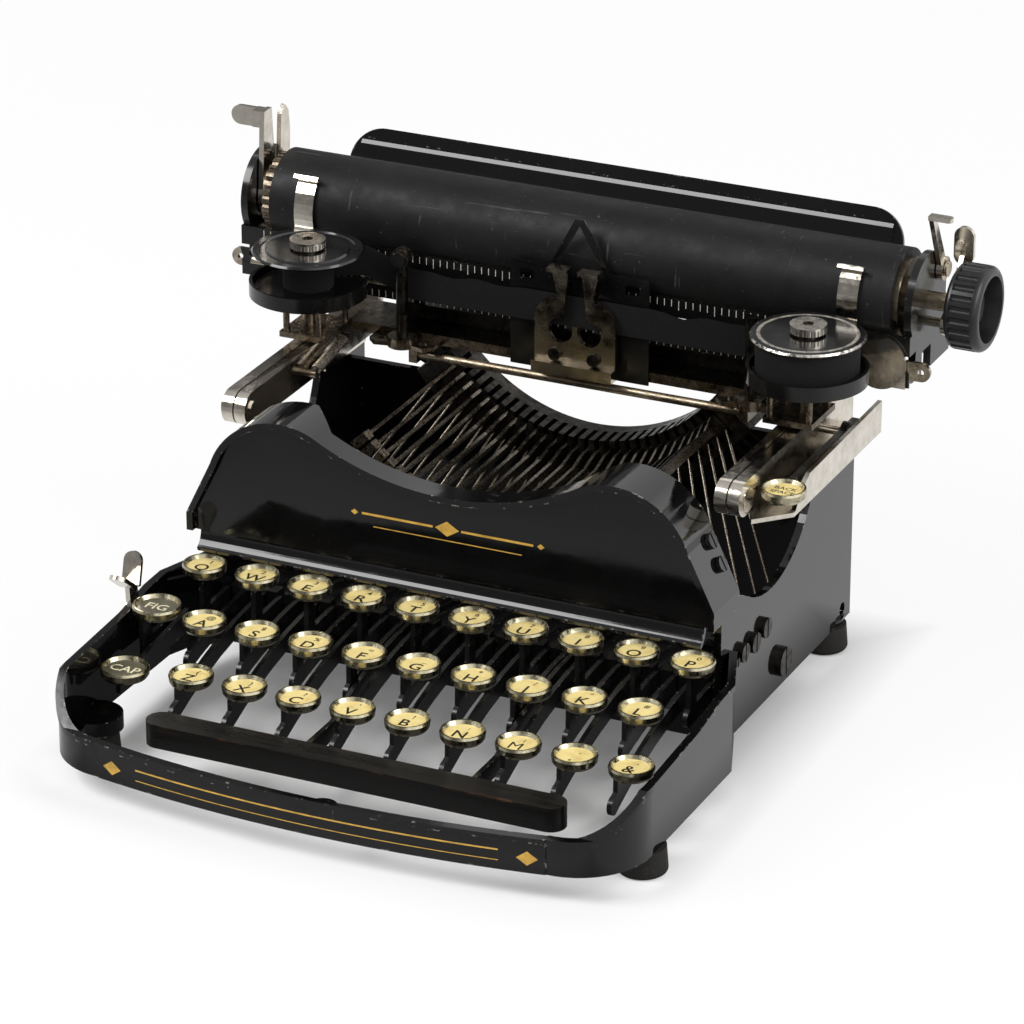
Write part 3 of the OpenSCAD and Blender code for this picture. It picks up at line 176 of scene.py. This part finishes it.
def edges(tree, radius, low, high):
    soft = tree.nodes.new("ShaderNodeBevel")
    soft.samples = 4
    soft.inputs["Radius"].default_value = radius
    hard = tree.nodes.new("ShaderNodeNewGeometry")
    dot = tree.nodes.new("ShaderNodeVectorMath")
    dot.operation = "DOT_PRODUCT"
    tree.links.new(soft.outputs["Normal"], dot.inputs[0])
    tree.links.new(hard.outputs["Normal"], dot.inputs[1])
    return level(tree, dot.outputs["Value"], 1.0, 0.0, 1.0 - high, 1.0 - low)


def axes(tree, space="Object"):
    coord = tree.nodes.new("ShaderNodeTexCoord")
    split = tree.nodes.new("ShaderNodeSeparateXYZ")
    tree.links.new(coord.outputs[space], split.inputs["Vector"])
    return split.outputs


def size_of(tree, value):
    return calc(tree, "ABSOLUTE", value, 0.0)


def shade(c, f):
    return tuple(min(1.0, f * v) for v in c)


# Wear in a ring round an upright axis, all in metres
def ring_band(tree, x, y, r, half):
    at = axes(tree)
    dx = calc(tree, "SUBTRACT", at["X"], x)
    dy = calc(tree, "SUBTRACT", at["Y"], y)
    square = calc(tree, "ADD", calc(tree, "MULTIPLY", dx, dx), calc(tree, "MULTIPLY", dy, dy))
    off = size_of(tree, calc(tree, "SUBTRACT", calc(tree, "POWER", square, 0.5), r))
    band = level(tree, off, 1.0, 0.0, 0.6 * half, half)
    return calc(tree, "MULTIPLY", band, level(tree, noise(tree, 420, 4), 0.35, 1.0))


# Zero at the two joints of the frame at x and -x, so that no wear is drawn along them
def off_seam(tree, x):
    off = calc(tree, "SUBTRACT", size_of(tree, axes(tree)["X"]), x)
    return level(tree, size_of(tree, off), 0.0, 1.0, 0.0012, 0.0020)


# Materials
def enamel(name, chip=0.5, rough=0.06, base=0.0045, dust=0.12, seam=None, ring=None):
    m, tree, s = start(name)
    deep = (0.7 * base, 0.7 * base, 0.7 * base)
    warm = (1.35 * base, 1.3 * base, 1.25 * base)
    body = ramp(tree, noise(tree, 35, 5), [(0.3, deep), (0.7, warm)])
    specks = level(tree, noise(tree, 1700, 2, 0.5), 0.0, dust, 0.71, 0.75)
    dusty = mix(tree, specks, body, (0.17, 0.165, 0.155))
    cut = 0.74 - 0.24 * chip
    chips = level(tree, noise(tree, 380, 4, 0.7), 0.0, 1.0, cut, cut + 0.05)
    worn = calc(tree, "MULTIPLY", edges(tree, 0.0010, 0.03, 0.25), chips)
    if ring:
        worn = calc(tree, "MAXIMUM", worn, ring_band(tree, *ring))
    if seam:
        worn = calc(tree, "MULTIPLY", worn, off_seam(tree, seam))
    tree.links.new(mix(tree, worn, dusty, (0.40, 0.37, 0.32)), s.inputs["Base Color"])
    haze = level(tree, noise(tree, 70, 6), rough * 0.7, rough * 2.0, 0.35, 0.75)
    tree.links.new(haze, s.inputs["Roughness"])
    bump(tree, s, noise(tree, 120, 2), 0.03, 0.0006)
    return m


def metal(name, bright, dark, rough, patina=0.4, scale=220, stretch=None, grime=0.0):
    m, tree, s = start(name)
    s.inputs["Metallic"].default_value = 1.0
    low = 0.22 + 0.22 * patina
    between = tuple(0.4 * a + 0.6 * b for a, b in zip(dark, bright))
    stops = [(low, dark), (low + 0.12, between), (0.66, bright)]
    col = ramp(tree, noise(tree, scale, 7, 0.7, stretch), stops)
    if grime:
        film = level(tree, noise(tree, 45, 6, 0.65), 0.0, grime, 0.42, 0.62)
        col = mix(tree, film, col, shade(dark, 0.35))
    tree.links.new(col, s.inputs["Base Color"])
    haze = level(tree, noise(tree, scale * 1.7, 5), rough * 0.6, rough * 1.9, 0.3, 0.7)
    tree.links.new(haze, s.inputs["Roughness"])
    bump(tree, s, noise(tree, 800, 3, 0.6, stretch), 0.05, 0.0003)
    return m


def rubber(name, base, fleck, rough, pale, shine):
    m, tree, s = start(name)
    s.inputs["Specular IOR Level"].default_value = shine
    body = ramp(tree, noise(tree, 60, 6), [(0.3, shade(base, 0.75)), (0.7, shade(base, 1.3))])
    flecks = level(tree, noise(tree, 620, 3, 0.75), 0.0, fleck, 0.67, 0.73)
    lines = level(tree, noise(tree, 240, 5, 0.65, (0.10, 1.6, 1.6)), 0.0, 0.6 * fleck, 0.64, 0.70)
    rings = level(tree, noise(tree, 240, 5, 0.65, (2.2, 0.22, 0.22)), 0.0, 0.6 * fleck, 0.66, 0.71)
    marks = calc(tree, "MAXIMUM", flecks, calc(tree, "MAXIMUM", lines, rings))
    tree.links.new(mix(tree, marks, body, pale), s.inputs["Base Color"])
    haze = level(tree, noise(tree, 130, 4), rough * 0.85, rough * 1.2)
    tree.links.new(haze, s.inputs["Roughness"])
    bump(tree, s, noise(tree, 1400, 3), 0.12, 0.0002)
    return m


def card(name, base, stain, rough=0.4):
    m, tree, s = start(name)
    stops = [(0.30, stain), (0.50, base), (0.8, shade(base, 1.08))]
    body = ramp(tree, noise(tree, 240, 5, 0.6), stops)
    specks = level(tree, noise(tree, 1300, 3, 0.7), 0.0, 0.45, 0.69, 0.75)
    tree.links.new(mix(tree, specks, body, shade(stain, 0.45)), s.inputs["Base Color"])
    haze = level(tree, noise(tree, 500, 3), rough * 0.8, rough * 1.2)
    tree.links.new(haze, s.inputs["Roughness"])
    s.inputs["Coat Weight"].default_value = 0.4
    s.inputs["Coat Roughness"].default_value = 0.06
    bump(tree, s, noise(tree, 1600, 2), 0.05, 0.0001)
    return m


def wood(name):
    m, tree, s = start(name)
    grain = noise(tree, 260, 6, 0.7, (0.06, 1.0, 1.0))
    body = ramp(tree, grain, [(0.35, (0.003, 0.0026, 0.0022)),
                              (0.60, (0.007, 0.006, 0.0055)),
                              (0.80, (0.022, 0.013, 0.008))])
    patches = level(tree, noise(tree, 75, 5), 0.0, 0.9, 0.56, 0.68)
    rub = calc(tree, "MULTIPLY", edges(tree, 0.0016, 0.02, 0.3), patches)
    tree.links.new(mix(tree, rub, body, (0.15, 0.065, 0.025)), s.inputs["Base Color"])
    tree.links.new(level(tree, grain, 0.22, 0.42), s.inputs["Roughness"])
    s.inputs["Specular IOR Level"].default_value = 0.35
    bump(tree, s, grain, 0.15, 0.0003)
    return m


def cloth(name):
    m, tree, s = start(name)
    coord = tree.nodes.new("ShaderNodeTexCoord")
    heights = []
    for turn in ((0, 0, 0), (0, math.pi / 2, 0)):
        mapping = tree.nodes.new("ShaderNodeMapping")
        mapping.inputs["Rotation"].default_value = turn
        wave = tree.nodes.new("ShaderNodeTexWave")
        wave.inputs["Scale"].default_value = 620
        wave.inputs["Distortion"].default_value = 0.6
        tree.links.new(coord.outputs["Object"], mapping.inputs["Vector"])
        tree.links.new(mapping.outputs["Vector"], wave.inputs["Vector"])
        heights.append(wave.outputs["Fac"])
    weave = calc(tree, "MULTIPLY", heights[0], heights[1])
    body = ramp(tree, weave, [(0.0, (0.003, 0.003, 0.0032)), (1.0, (0.014, 0.0135, 0.0135))])
    ink = level(tree, noise(tree, 120, 4), 0.0, 0.7)
    tree.links.new(mix(tree, ink, body, (0.004, 0.004, 0.0045)), s.inputs["Base Color"])
    s.inputs["Roughness"].default_value = 0.85
    s.inputs["Specular IOR Level"].default_value = 0.25
    bump(tree, s, weave, 0.4, 0.0002)
    return m


def paint(name, base, rough=0.35, metallic=0.0):
    m, tree, s = start(name)
    s.inputs["Metallic"].default_value = metallic
    stops = [(0.3, shade(base, 0.6)), (0.55, base), (0.8, shade(base, 1.15))]
    body = ramp(tree, noise(tree, 300, 5), stops)
    tree.links.new(body, s.inputs["Base Color"])
    haze = level(tree, noise(tree, 700, 3), rough * 0.7, rough * 1.3)
    tree.links.new(haze, s.inputs["Roughness"])
    return m


ENAMEL = enamel("black_enamel_gloss", 0.65, 0.06, 0.0035)
FRAME_ENAMEL = enamel("frame_enamel_gloss", 0.65, 0.06, 0.0035, 0.12, BAR_HALF * MM)
SPOOL_WORN = enamel("spool_enamel_worn", 0.6, 0.13, 0.005, 0.2, None,
                    (SPOOL_X * MM, SPOOL_Y * MM, (SPOOL_R - 2.9) * MM, 0.75 * MM))
ENAMEL_THIN = enamel("black_enamel_thin", 0.35, 0.13, 0.005, 0.2)
EDGE_BARE = metal("enamel_rubbed_through", (0.70, 0.67, 0.62), (0.03, 0.028, 0.026),
                  0.25, 0.85, 520)
NICKEL = metal("nickel_plate", (0.80, 0.755, 0.68), (0.50, 0.43, 0.33),
               0.13, 0.25, 260, None, 0.25)
NICKEL_OLD = metal("nickel_tarnished", (0.66, 0.60, 0.50), (0.22, 0.17, 0.11),
                   0.20, 0.6, 300, None, 0.55)
# Darker aged steel: the own colour of several parts, and painted shade on the tops of the bed's
# arms.
AGED_STEEL_AND_SHADE = metal("aged_steel_and_painted_shade", (0.27, 0.225, 0.17), (0.065, 0.05, 0.036), 0.25, 0.6, 300, None, 0.55)
GUIDE = metal("guide_nickel", (0.70, 0.63, 0.52), (0.40, 0.33, 0.24), 0.15, 0.15, 90, None, 0.45)
RING = metal("key_ring_nickel", (0.54, 0.50, 0.36), (0.20, 0.175, 0.10), 0.19, 0.55, 520)
BRONZE = metal("rod_bronze", (0.46, 0.39, 0.29), (0.16, 0.115, 0.07),
               0.28, 0.6, 300, (0.3, 1.0, 1.0), 0.5)
STEEL = metal("type_steel", (0.36, 0.32, 0.265), (0.09, 0.072, 0.054), 0.24, 0.6, 800, None, 0.6)
DARK_STEEL = metal("oiled_steel", (0.062, 0.056, 0.049), (0.018, 0.015, 0.012),
                   0.30, 0.7, 260, None, 0.5)
LEVER = enamel("lever_black", 0.5, 0.22, 0.006, 0.2)
PLATEN = rubber("platen_rubber", (0.0085, 0.0081, 0.0083), 0.35, 0.48, (0.22, 0.215, 0.21), 0.2)
FOOT = rubber("foot_rubber", (0.010, 0.009, 0.008), 0.2, 0.65, (0.10, 0.095, 0.09), 0.3)
KNOB = rubber("knob_composition", (0.010, 0.010, 0.011), 0.08, 0.32, (0.20, 0.20, 0.20), 0.4)
CREAM = card("key_card_cream", (0.94, 0.76, 0.32), (0.76, 0.57, 0.20))
OLIVE = card("key_card_dark", (0.10, 0.092, 0.06), (0.06, 0.054, 0.032))
WOOD = wood("space_bar_wood")
CLOTH = cloth("ribbon_cloth")
INK = paint("key_ink", (0.012, 0.010, 0.008), 0.5)
PALE_INK = paint("pale_ink", (0.92, 0.84, 0.56), 0.45)
WHITE_MARK = paint("scale_white", (0.55, 0.53, 0.48), 0.5)
GOLD = paint("gold_line", (0.74, 0.44, 0.08), 0.38, 0.2)


def dress(node, *materials, pick=None):
    mesh = nodes[node].data
    mesh.materials.clear()
    for m in materials:
        mesh.materials.append(m)
    index = [0] * len(mesh.polygons)
    if pick:
        for p in mesh.polygons:
            index[p.index] = pick(p.center / MM, p.normal)
    mesh.polygons.foreach_set("material_index", index)
    mesh.update()


def off_axis(c, y, z):
    return math.hypot(c.y - y, c.z - z)


def flat_piece(name, verts, faces, material, body):
    mesh = bpy.data.meshes.new(name)
    mesh.from_pydata([tuple(v) for v in verts], [], faces)
    mesh.materials.append(material)
    mesh.update()
    o = bpy.data.objects.new(name, mesh)
    bpy.context.scene.collection.objects.link(o)
    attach(o, body)
    return o


def text_mesh(text, size, place):
    curve = bpy.data.curves.new("text", "FONT")
    curve.body = text
    curve.align_x = "CENTER"
    curve.align_y = "CENTER"
    curve.resolution_u = 3
    # A heavier outline would fill the inner corner of an M
    curve.offset = 0.0 if "M" in text else LETTER_WEIGHT
    o = bpy.data.objects.new("text", curve)
    bpy.context.scene.collection.objects.link(o)
    bpy.context.view_layer.update()
    mesh = bpy.data.meshes.new_from_object(o.evaluated_get(bpy.context.evaluated_depsgraph_get()))
    verts = [place(v.co * size * MM) for v in mesh.vertices]
    faces = [list(p.vertices) for p in mesh.polygons]
    bpy.data.meshes.remove(mesh)
    bpy.data.objects.remove(o)
    bpy.data.curves.remove(curve)
    return verts, faces


def words(name, parts, material, body):
    verts, faces = [], []
    for text, size, place in parts:
        v, f = text_mesh(text, size, place)
        faces += [[len(verts) + i for i in face] for face in f]
        verts += v
    return flat_piece(name, verts, faces, material, body)


def on_top(x, y, z):
    return lambda v: (v.x + x * MM, v.y + y * MM, z * MM)


def on_front(x, y, z):
    return lambda v: (v.x + x * MM, y * MM, v.y + z * MM)


# Keys with their letters
letters = ["q", "a", "z", "w", "s", "x", "e", "d", "c", "r", "f", "v", "t", "g", "b",
           "y", "h", "n", "u", "j", "m", "i", "k", "period", "o", "l", "ampersand", "p"]
shown = {"period": ".", "ampersand": "&"}
figures = {"q": "1", "w": "2", "e": "3", "r": "4", "t": "5",
           "y": "6", "u": "7", "i": "8", "o": "9", "p": "0",
           "a": "@", "s": "$", "d": "%", "f": "=", "g": "_",
           "h": "*", "j": "/", "k": "\"", "l": "#",
           "z": "(", "x": ")", "c": "?", "v": "'", "b": "!",
           "n": ":", "m": ";", "period": ",", "ampersand": "-"}


def key_pick(x, y, top, r):
    def pick(c, n):
        off = math.hypot(c.x - x, c.y - y)
        if off > r + 0.2 or c.z < top - KEY_H - 0.02 or c.z > top + 0.1:
            return 0
        if n.z > 0.9 and c.z < top - 0.6:
            return 2
        return 1
    return pick


for i, n in enumerate(letters):
    row = i % 3
    x = (i - 13.5) * LEVER_PITCH + LEVER_SHIFT + ROW_X[row]
    y = BACK_ROW_Y - ROW_STEP * row
    top = BACK_ROW_Z - ROW_RISE * row
    dress("key_" + n, LEVER, RING, CREAM, pick=key_pick(x, y, top, KEY_R))
    disc = top - DISC_DEPTH + INK_LIFT
    legend = [(shown.get(n, n.upper()), LETTER_SIZE, on_top(x - 0.3, y - 1.7, disc)),
              (figures[n], FIGURE_SIZE, on_top(x + 0.9, y + 3.0, disc))]
    words("legend_" + n, legend, INK, "key_" + n + "_lever")

for n, text, y, top in (("fig", "FIG", FIG_Y, FIG_TOP), ("cap", "CAP", CAP_Y, CAP_TOP)):
    dress("key_" + n, LEVER, RING, OLIVE, pick=key_pick(SHIFT_X, y, top, SHIFT_R))
    legend = [(text, SHIFT_WORD_SIZE, on_top(SHIFT_X, y - 0.2, top - DISC_DEPTH + INK_LIFT))]
    words("legend_" + n, legend, PALE_INK, n)

dress("back_space_key", LEVER, RING, CREAM, pick=key_pick(BACK_X, BACK_Y, BACK_TOP, KEY_R))
disc = BACK_TOP - DISC_DEPTH + INK_LIFT
legend = [("BACK", BACK_WORD_SIZE, on_top(BACK_X, BACK_Y + 1.5, disc)),
          ("SPACE", BACK_WORD_SIZE, on_top(BACK_X, BACK_Y - 1.5, disc))]
words("legend_back_space", legend, INK, "back_space")

# Body
dress("base_frame", FRAME_ENAMEL)
dress("front_cowl", ENAMEL)
dress("rubber_feet", FOOT)
dress("frame_screws", DARK_STEEL, LEVER, pick=lambda c, n: 1 if c.y < -10 else 0)
dress("lever_guides", LEVER)
dress("type_segment", DARK_STEEL)
dress("typebars", STEEL)
dress("hinge_brackets", NICKEL)
dress("shift_lock_lever", NICKEL)
dress("space_bar", WOOD, LEVER, pick=lambda c, n: 1 if c.y > BAR_BACK or c.z < BAR_FOOT else 0)


# Generic gold lines on the rim front and on the cowl
def on_rim(x, z):
    return (x * MM, (BOW_Y - math.sqrt((BOW_R + LINE_LIFT) ** 2 - x * x)) * MM, z * MM)


def on_cowl(x, z):
    return (x * MM, (COWL_Y - LINE_LIFT) * MM, z * MM)


def gold_lines(name, place, bands, marks):
    verts, faces = [], []
    for x0, x1, z, t in bands:
        steps = max(1, int((x1 - x0) / 3))
        base = len(verts)
        for k in range(steps + 1):
            x = x0 + (x1 - x0) * k / steps
            verts += [place(x, z), place(x, z + t)]
        for k in range(steps):
            a = base + 2 * k
            faces.append([a, a + 2, a + 3, a + 1])
    for cx, cz, w, h in marks:
        base = len(verts)
        verts += [place(cx - w, cz), place(cx, cz - h), place(cx + w, cz), place(cx, cz + h)]
        faces.append([base, base + 1, base + 2, base + 3])
    flat_piece(name, verts, faces, GOLD, "frame")


gold_lines("rim_gold_lines", on_rim, [(-62, 62, 15.4, 0.55), (-62, 62, 12.0, 0.3)],
           [(-71, 13.9, 3.4, 2.4), (71, 13.9, 3.4, 2.4)])
gold_lines("cowl_gold_lines", on_cowl,
           [(-30, -5, 70.4, 0.8), (5, 30, 70.4, 0.8), (-26, 26, 66.6, 0.35)],
           [(0, 70.8, 4.2, 2.6), (-32.6, 70.8, 1.3, 1.0), (32.6, 70.8, 1.3, 1.0)])


# Folding bed, spools and ribbon
def bed_pick(c, n):
    if off_axis(c, ROD_Y, ROD_Z) < ROD_R and abs(c.x) < ROD_HALF:
        return 1
    # Painted shade: on the arms, the upward faces at the back take the darker aged steel, so the
    # tops are darker than the nickel sides by which way they face.
    if abs(c.x) > ARM_X and c.z < ARM_TOP:
        return 2 if n.z > 0.6 and c.y > 20 else 0
    if abs(c.x + POST_X) < 3.6 and c.z > 114.5:
        return 4 if n.y < -0.5 else 2
    if c.z > 94:
        return 2 if abs(c.x) > 70 else 3
    if c.y < 77.0:
        return 2
    return 3


dress("carriage_bed", NICKEL, BRONZE, AGED_STEEL_AND_SHADE, DARK_STEEL, LEVER, pick=bed_pick)
dress("spool_cups", ENAMEL_THIN, AGED_STEEL_AND_SHADE, pick=lambda c, n: 1 if c.z < CUP_FOOT else 0)


def spool_pick(x, rubbed):
    def pick(c, n):
        off = math.hypot(c.x - x, c.y - SPOOL_Y)
        if c.z > FLANGE_TOP + 0.1 and off < 6.3:
            return 1
        if c.z < 107.0:
            return 4
        if FLANGE_BOTTOM + 1.3 < c.z < FLANGE_TOP - 1.4 and abs(n.z) < 0.5:
            return 2
        on_edge = off > SPOOL_R - 0.6 or SPOOL_R - 3.3 < off < SPOOL_R - 2.5
        if rubbed and c.z > FLANGE_TOP - 1.2 and on_edge:
            return 3
        return 0
    return pick


dress("left_spool", ENAMEL_THIN, NICKEL, CLOTH, EDGE_BARE, AGED_STEEL_AND_SHADE, pick=spool_pick(-SPOOL_X, False))
dress("right_spool", SPOOL_WORN, NICKEL, CLOTH, EDGE_BARE, AGED_STEEL_AND_SHADE, pick=spool_pick(SPOOL_X, True))
dress("type_guide", GUIDE, DARK_STEEL,
      pick=lambda c, n: 1 if c.y < 72.3 and 91.0 < c.z < 96.5 else 0)
dress("card_guide", ENAMEL_THIN)
dress("arm_spring", STEEL)
dress("mainspring_drum", DARK_STEEL)


def ribbon_foot(x):
    if x < 0:
        t = min(1.0, max(0.0, (x + 75.0) / 14.0))
    else:
        t = min(1.0, max(0.0, (76.0 - x) / 15.0))
    return RIBBON_HIGH + (RIBBON_LOW - RIBBON_HIGH) * t


path = [(-86.2, 64.7), (-64.5, 74.1), (-60.0, 75.0), (60.0, 75.0), (64.5, 74.4), (82.2, 71.3)]
points = []
for (ax, ay), (bx, by) in zip(path, path[1:]):
    steps = max(2, int(math.hypot(bx - ax, by - ay) / 2.0))
    points += [(ax + (bx - ax) * k / steps, ay + (by - ay) * k / steps) for k in range(steps)]
points.append(path[-1])
rows = 7
verts, faces = [], []
for px, py in points:
    free = max(0.0, 1.0 - abs(abs(px) - 38.0) / 22.0)
    for k in range(rows):
        t = k / (rows - 1)
        curl = free * t ** 4 * (0.9 * math.sin(px * 0.30) - 0.7)
        sway = 0.1 * free * math.sin(px * 0.5 + 3 * t)
        high = ribbon_foot(px) + RIBBON_W * t + curl
        verts.append((px * MM, (py + sway) * MM, high * MM))
for k in range(len(points) - 1):
    for r in range(rows - 1):
        a = k * rows + r
        faces.append((a, a + rows, a + rows + 1, a + 1))
mid = [Vector(verts[k * rows + rows // 2]) for k in range(len(points))]
length = sum((b - a).length for a, b in zip(mid, mid[1:]))
ribbon = flat_piece("ink_ribbon", verts, faces, CLOTH, "bed")
for p in ribbon.data.polygons:
    p.use_smooth = True
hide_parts("ribbon")

# Carriage
dress("shift_frame", DARK_STEEL)


def carriage_pick(c, n):
    if c.x > 115.1 or c.x < -126.7:
        return 1
    rod = min(off_axis(c, y, SLIDE_ROD_Z) for y in SLIDE_ROD_Y)
    if rod < 3.1 and -124 < c.x < 112.4:
        return 1
    return 0


dress("carriage_frame", ENAMEL_THIN, NICKEL_OLD, pick=carriage_pick)
dress("paper_table", ENAMEL)
dress("platen", PLATEN)


def knob_pick(c, n):
    if c.x > 124.4:
        return 0
    return 2 if c.x > 107 else 1


dress("platen_knob", KNOB, AGED_STEEL_AND_SHADE, BRONZE, pick=knob_pick)
for n in ("line_space_lever", "paper_release_lever", "carriage_release_lever",
          "left_paper_finger", "right_paper_finger"):
    dress(n, NICKEL)


def ticks(name, z_of, tall_of):
    verts, faces = [], []
    for k in range(TICK_COUNT):
        x, tall = TICK_START + TICK_STEP * k, tall_of(k)
        base = len(verts)
        for dx, dz in ((-TICK_HALF, 0), (TICK_HALF, 0), (TICK_HALF, tall), (-TICK_HALF, tall)):
            verts.append(((x + dx) * MM, (SCALE_Y - INK_LIFT) * MM, (z_of(tall) + dz) * MM))
        faces.append([base, base + 1, base + 2, base + 3])
    flat_piece(name, verts, faces, WHITE_MARK, "carriage")


ticks("upper_scale_marks", lambda tall: SCALE_TOP - 0.6 - tall,
      lambda k: 3.4 if k % 5 == 0 else 2.4)
ticks("lower_scale_marks", lambda tall: LOW_SCALE_Z + 0.4, lambda k: 3.4 if k % 5 == 0 else 2.2)
numbers = []
for k in range(10, 85, 10):
    spot = on_front(TICK_START + TICK_STEP * k + 1.3, SCALE_Y - LINE_LIFT, LOW_SCALE_Z + 3.1)
    numbers.append((str(k), SCALE_FIGURE_SIZE, spot))
words("lower_scale_figures", numbers, WHITE_MARK, "carriage")

# Camera at the photograph's angle
cam = bpy.data.objects.new("camera", bpy.data.cameras.new("camera"))
bpy.context.scene.collection.objects.link(cam)
cam.data.sensor_width = 36.0
cam.data.lens = 181.41
cam.data.clip_start = 0.05
cam.data.clip_end = 30.0
azimuth, elevation, distance = math.radians(24.976), math.radians(23.978), 1.64654
target = Vector((0.010996, 0.0, 0.068717))
toward = Vector((math.sin(azimuth) * math.cos(elevation),
                 -math.cos(azimuth) * math.cos(elevation),
                 math.sin(elevation)))
cam.location = target + distance * toward
cam.rotation_euler = (-toward).to_track_quat("-Z", "Y").to_euler()
bpy.context.scene.camera = cam


# Pale floor: white when seen, with the machine's shadow kept and strongest inside its footprint.
# In reflections it glows with painted light instead: a painted shadow inside the footprint and
# painted shade towards the front.
def floor_material():
    m, tree, s = start("pale_floor")
    out = [n for n in tree.nodes if n.type == "OUTPUT_MATERIAL"][0]
    s.inputs["Roughness"].default_value = 0.9
    s.inputs["Specular IOR Level"].default_value = 0.0
    body = ramp(tree, noise(tree, 3, 3), [(0.3, (0.86, 0.86, 0.86)), (0.7, (0.90, 0.90, 0.90))])
    tree.links.new(body, s.inputs["Base Color"])
    glow = tree.nodes.new("ShaderNodeEmission")
    glow.inputs["Color"].default_value = (1, 1, 1, 1)
    rays = tree.nodes.new("ShaderNodeLightPath").outputs
    seen = calc(tree, "MAXIMUM", rays["Is Camera Ray"], rays["Is Transmission Ray"])
    mirrored = rays["Is Glossy Ray"]
    at = axes(tree)
    across = calc(tree, "DIVIDE", size_of(tree, at["X"]), 0.101)
    along = calc(tree, "DIVIDE", size_of(tree, calc(tree, "ADD", at["Y"], 0.012)), 0.112)
    away = level(tree, calc(tree, "MAXIMUM", across, along), 0.10, 0.88, 0.90, 1.15)
    # Painted shade: the floor seen in reflections is dimmer towards the front.
    before = level(tree, at["Y"], 0.42, 1.0, -0.20, -0.02)
    # Painted shadow: in reflections the floor glows dimmer inside the machine's footprint, with no
    # real shading there.
    painted_mirror_light = calc(tree, "MULTIPLY", mirrored, calc(tree, "MULTIPLY", before, away))
    tree.links.new(calc(tree, "ADD", seen, painted_mirror_light), glow.inputs["Strength"])
    both = tree.nodes.new("ShaderNodeMixShader")
    share = calc(tree, "ADD", calc(tree, "MULTIPLY", seen, away), mirrored)
    tree.links.new(share, both.inputs["Fac"])
    tree.links.new(s.outputs["BSDF"], both.inputs[1])
    tree.links.new(glow.outputs["Emission"], both.inputs[2])
    tree.links.new(both.outputs["Shader"], out.inputs["Surface"])
    return m


floor_mesh = bpy.data.meshes.new("floor")
floor_mesh.from_pydata([(-6, -6, 0), (6, -6, 0), (6, 6, 0), (-6, 6, 0)], [], [(0, 1, 2, 3)])
floor_mesh.materials.append(floor_material())
floor = bpy.data.objects.new("floor", floor_mesh)
bpy.context.scene.collection.objects.link(floor)

# Studio: white to the camera, a soft gradient in reflections, and plain light
AMBIENT = 0.50
world = bpy.data.worlds.new("studio")
bpy.context.scene.world = world
world.use_nodes = True
tree = world.node_tree
back = tree.nodes["Background"]
back.inputs["Color"].default_value = (1, 1, 1, 1)
rays = tree.nodes.new("ShaderNodeLightPath").outputs
seen = calc(tree, "MAXIMUM", rays["Is Camera Ray"], rays["Is Transmission Ray"])
at = axes(tree, "Generated")
right = level(tree, at["X"], 0.20, 1.5, 0.10, 0.55)
left = level(tree, at["X"], 0.6, 0.0, -0.95, -0.45)
upper = level(tree, at["Z"], 0.0, 0.35, 0.55, 0.90)
room = calc(tree, "ADD", right, calc(tree, "ADD", left, upper))
change = calc(tree, "MULTIPLY", rays["Is Glossy Ray"], calc(tree, "SUBTRACT", room, AMBIENT))
plain = calc(tree, "ADD", change, AMBIENT)
unseen = calc(tree, "SUBTRACT", 1.0, seen)
strength = calc(tree, "ADD", calc(tree, "MULTIPLY", plain, unseen), seen)
tree.links.new(strength, back.inputs["Strength"])


def softbox(name, place, aim, size, power):
    data = bpy.data.lights.new(name, "AREA")
    data.shape = "RECTANGLE"
    data.size, data.size_y = size
    data.energy = power
    o = bpy.data.objects.new(name, data)
    bpy.context.scene.collection.objects.link(o)
    o.location = place
    o.rotation_euler = (Vector(aim) - Vector(place)).to_track_quat("-Z", "Y").to_euler()


softbox("key_light", (-0.9, -0.8, 1.25), (0, 0, 0.08), (0.8, 0.8), 19)
softbox("side_light", (1.3, -0.1, 0.9), (0, 0, 0.08), (0.8, 0.8), 9)
softbox("back_light", (0.1, 1.2, 1.1), (0, 0, 0.1), (1.6, 0.7), 2.6)

bpy.context.scene.view_settings.view_transform = "Standard"
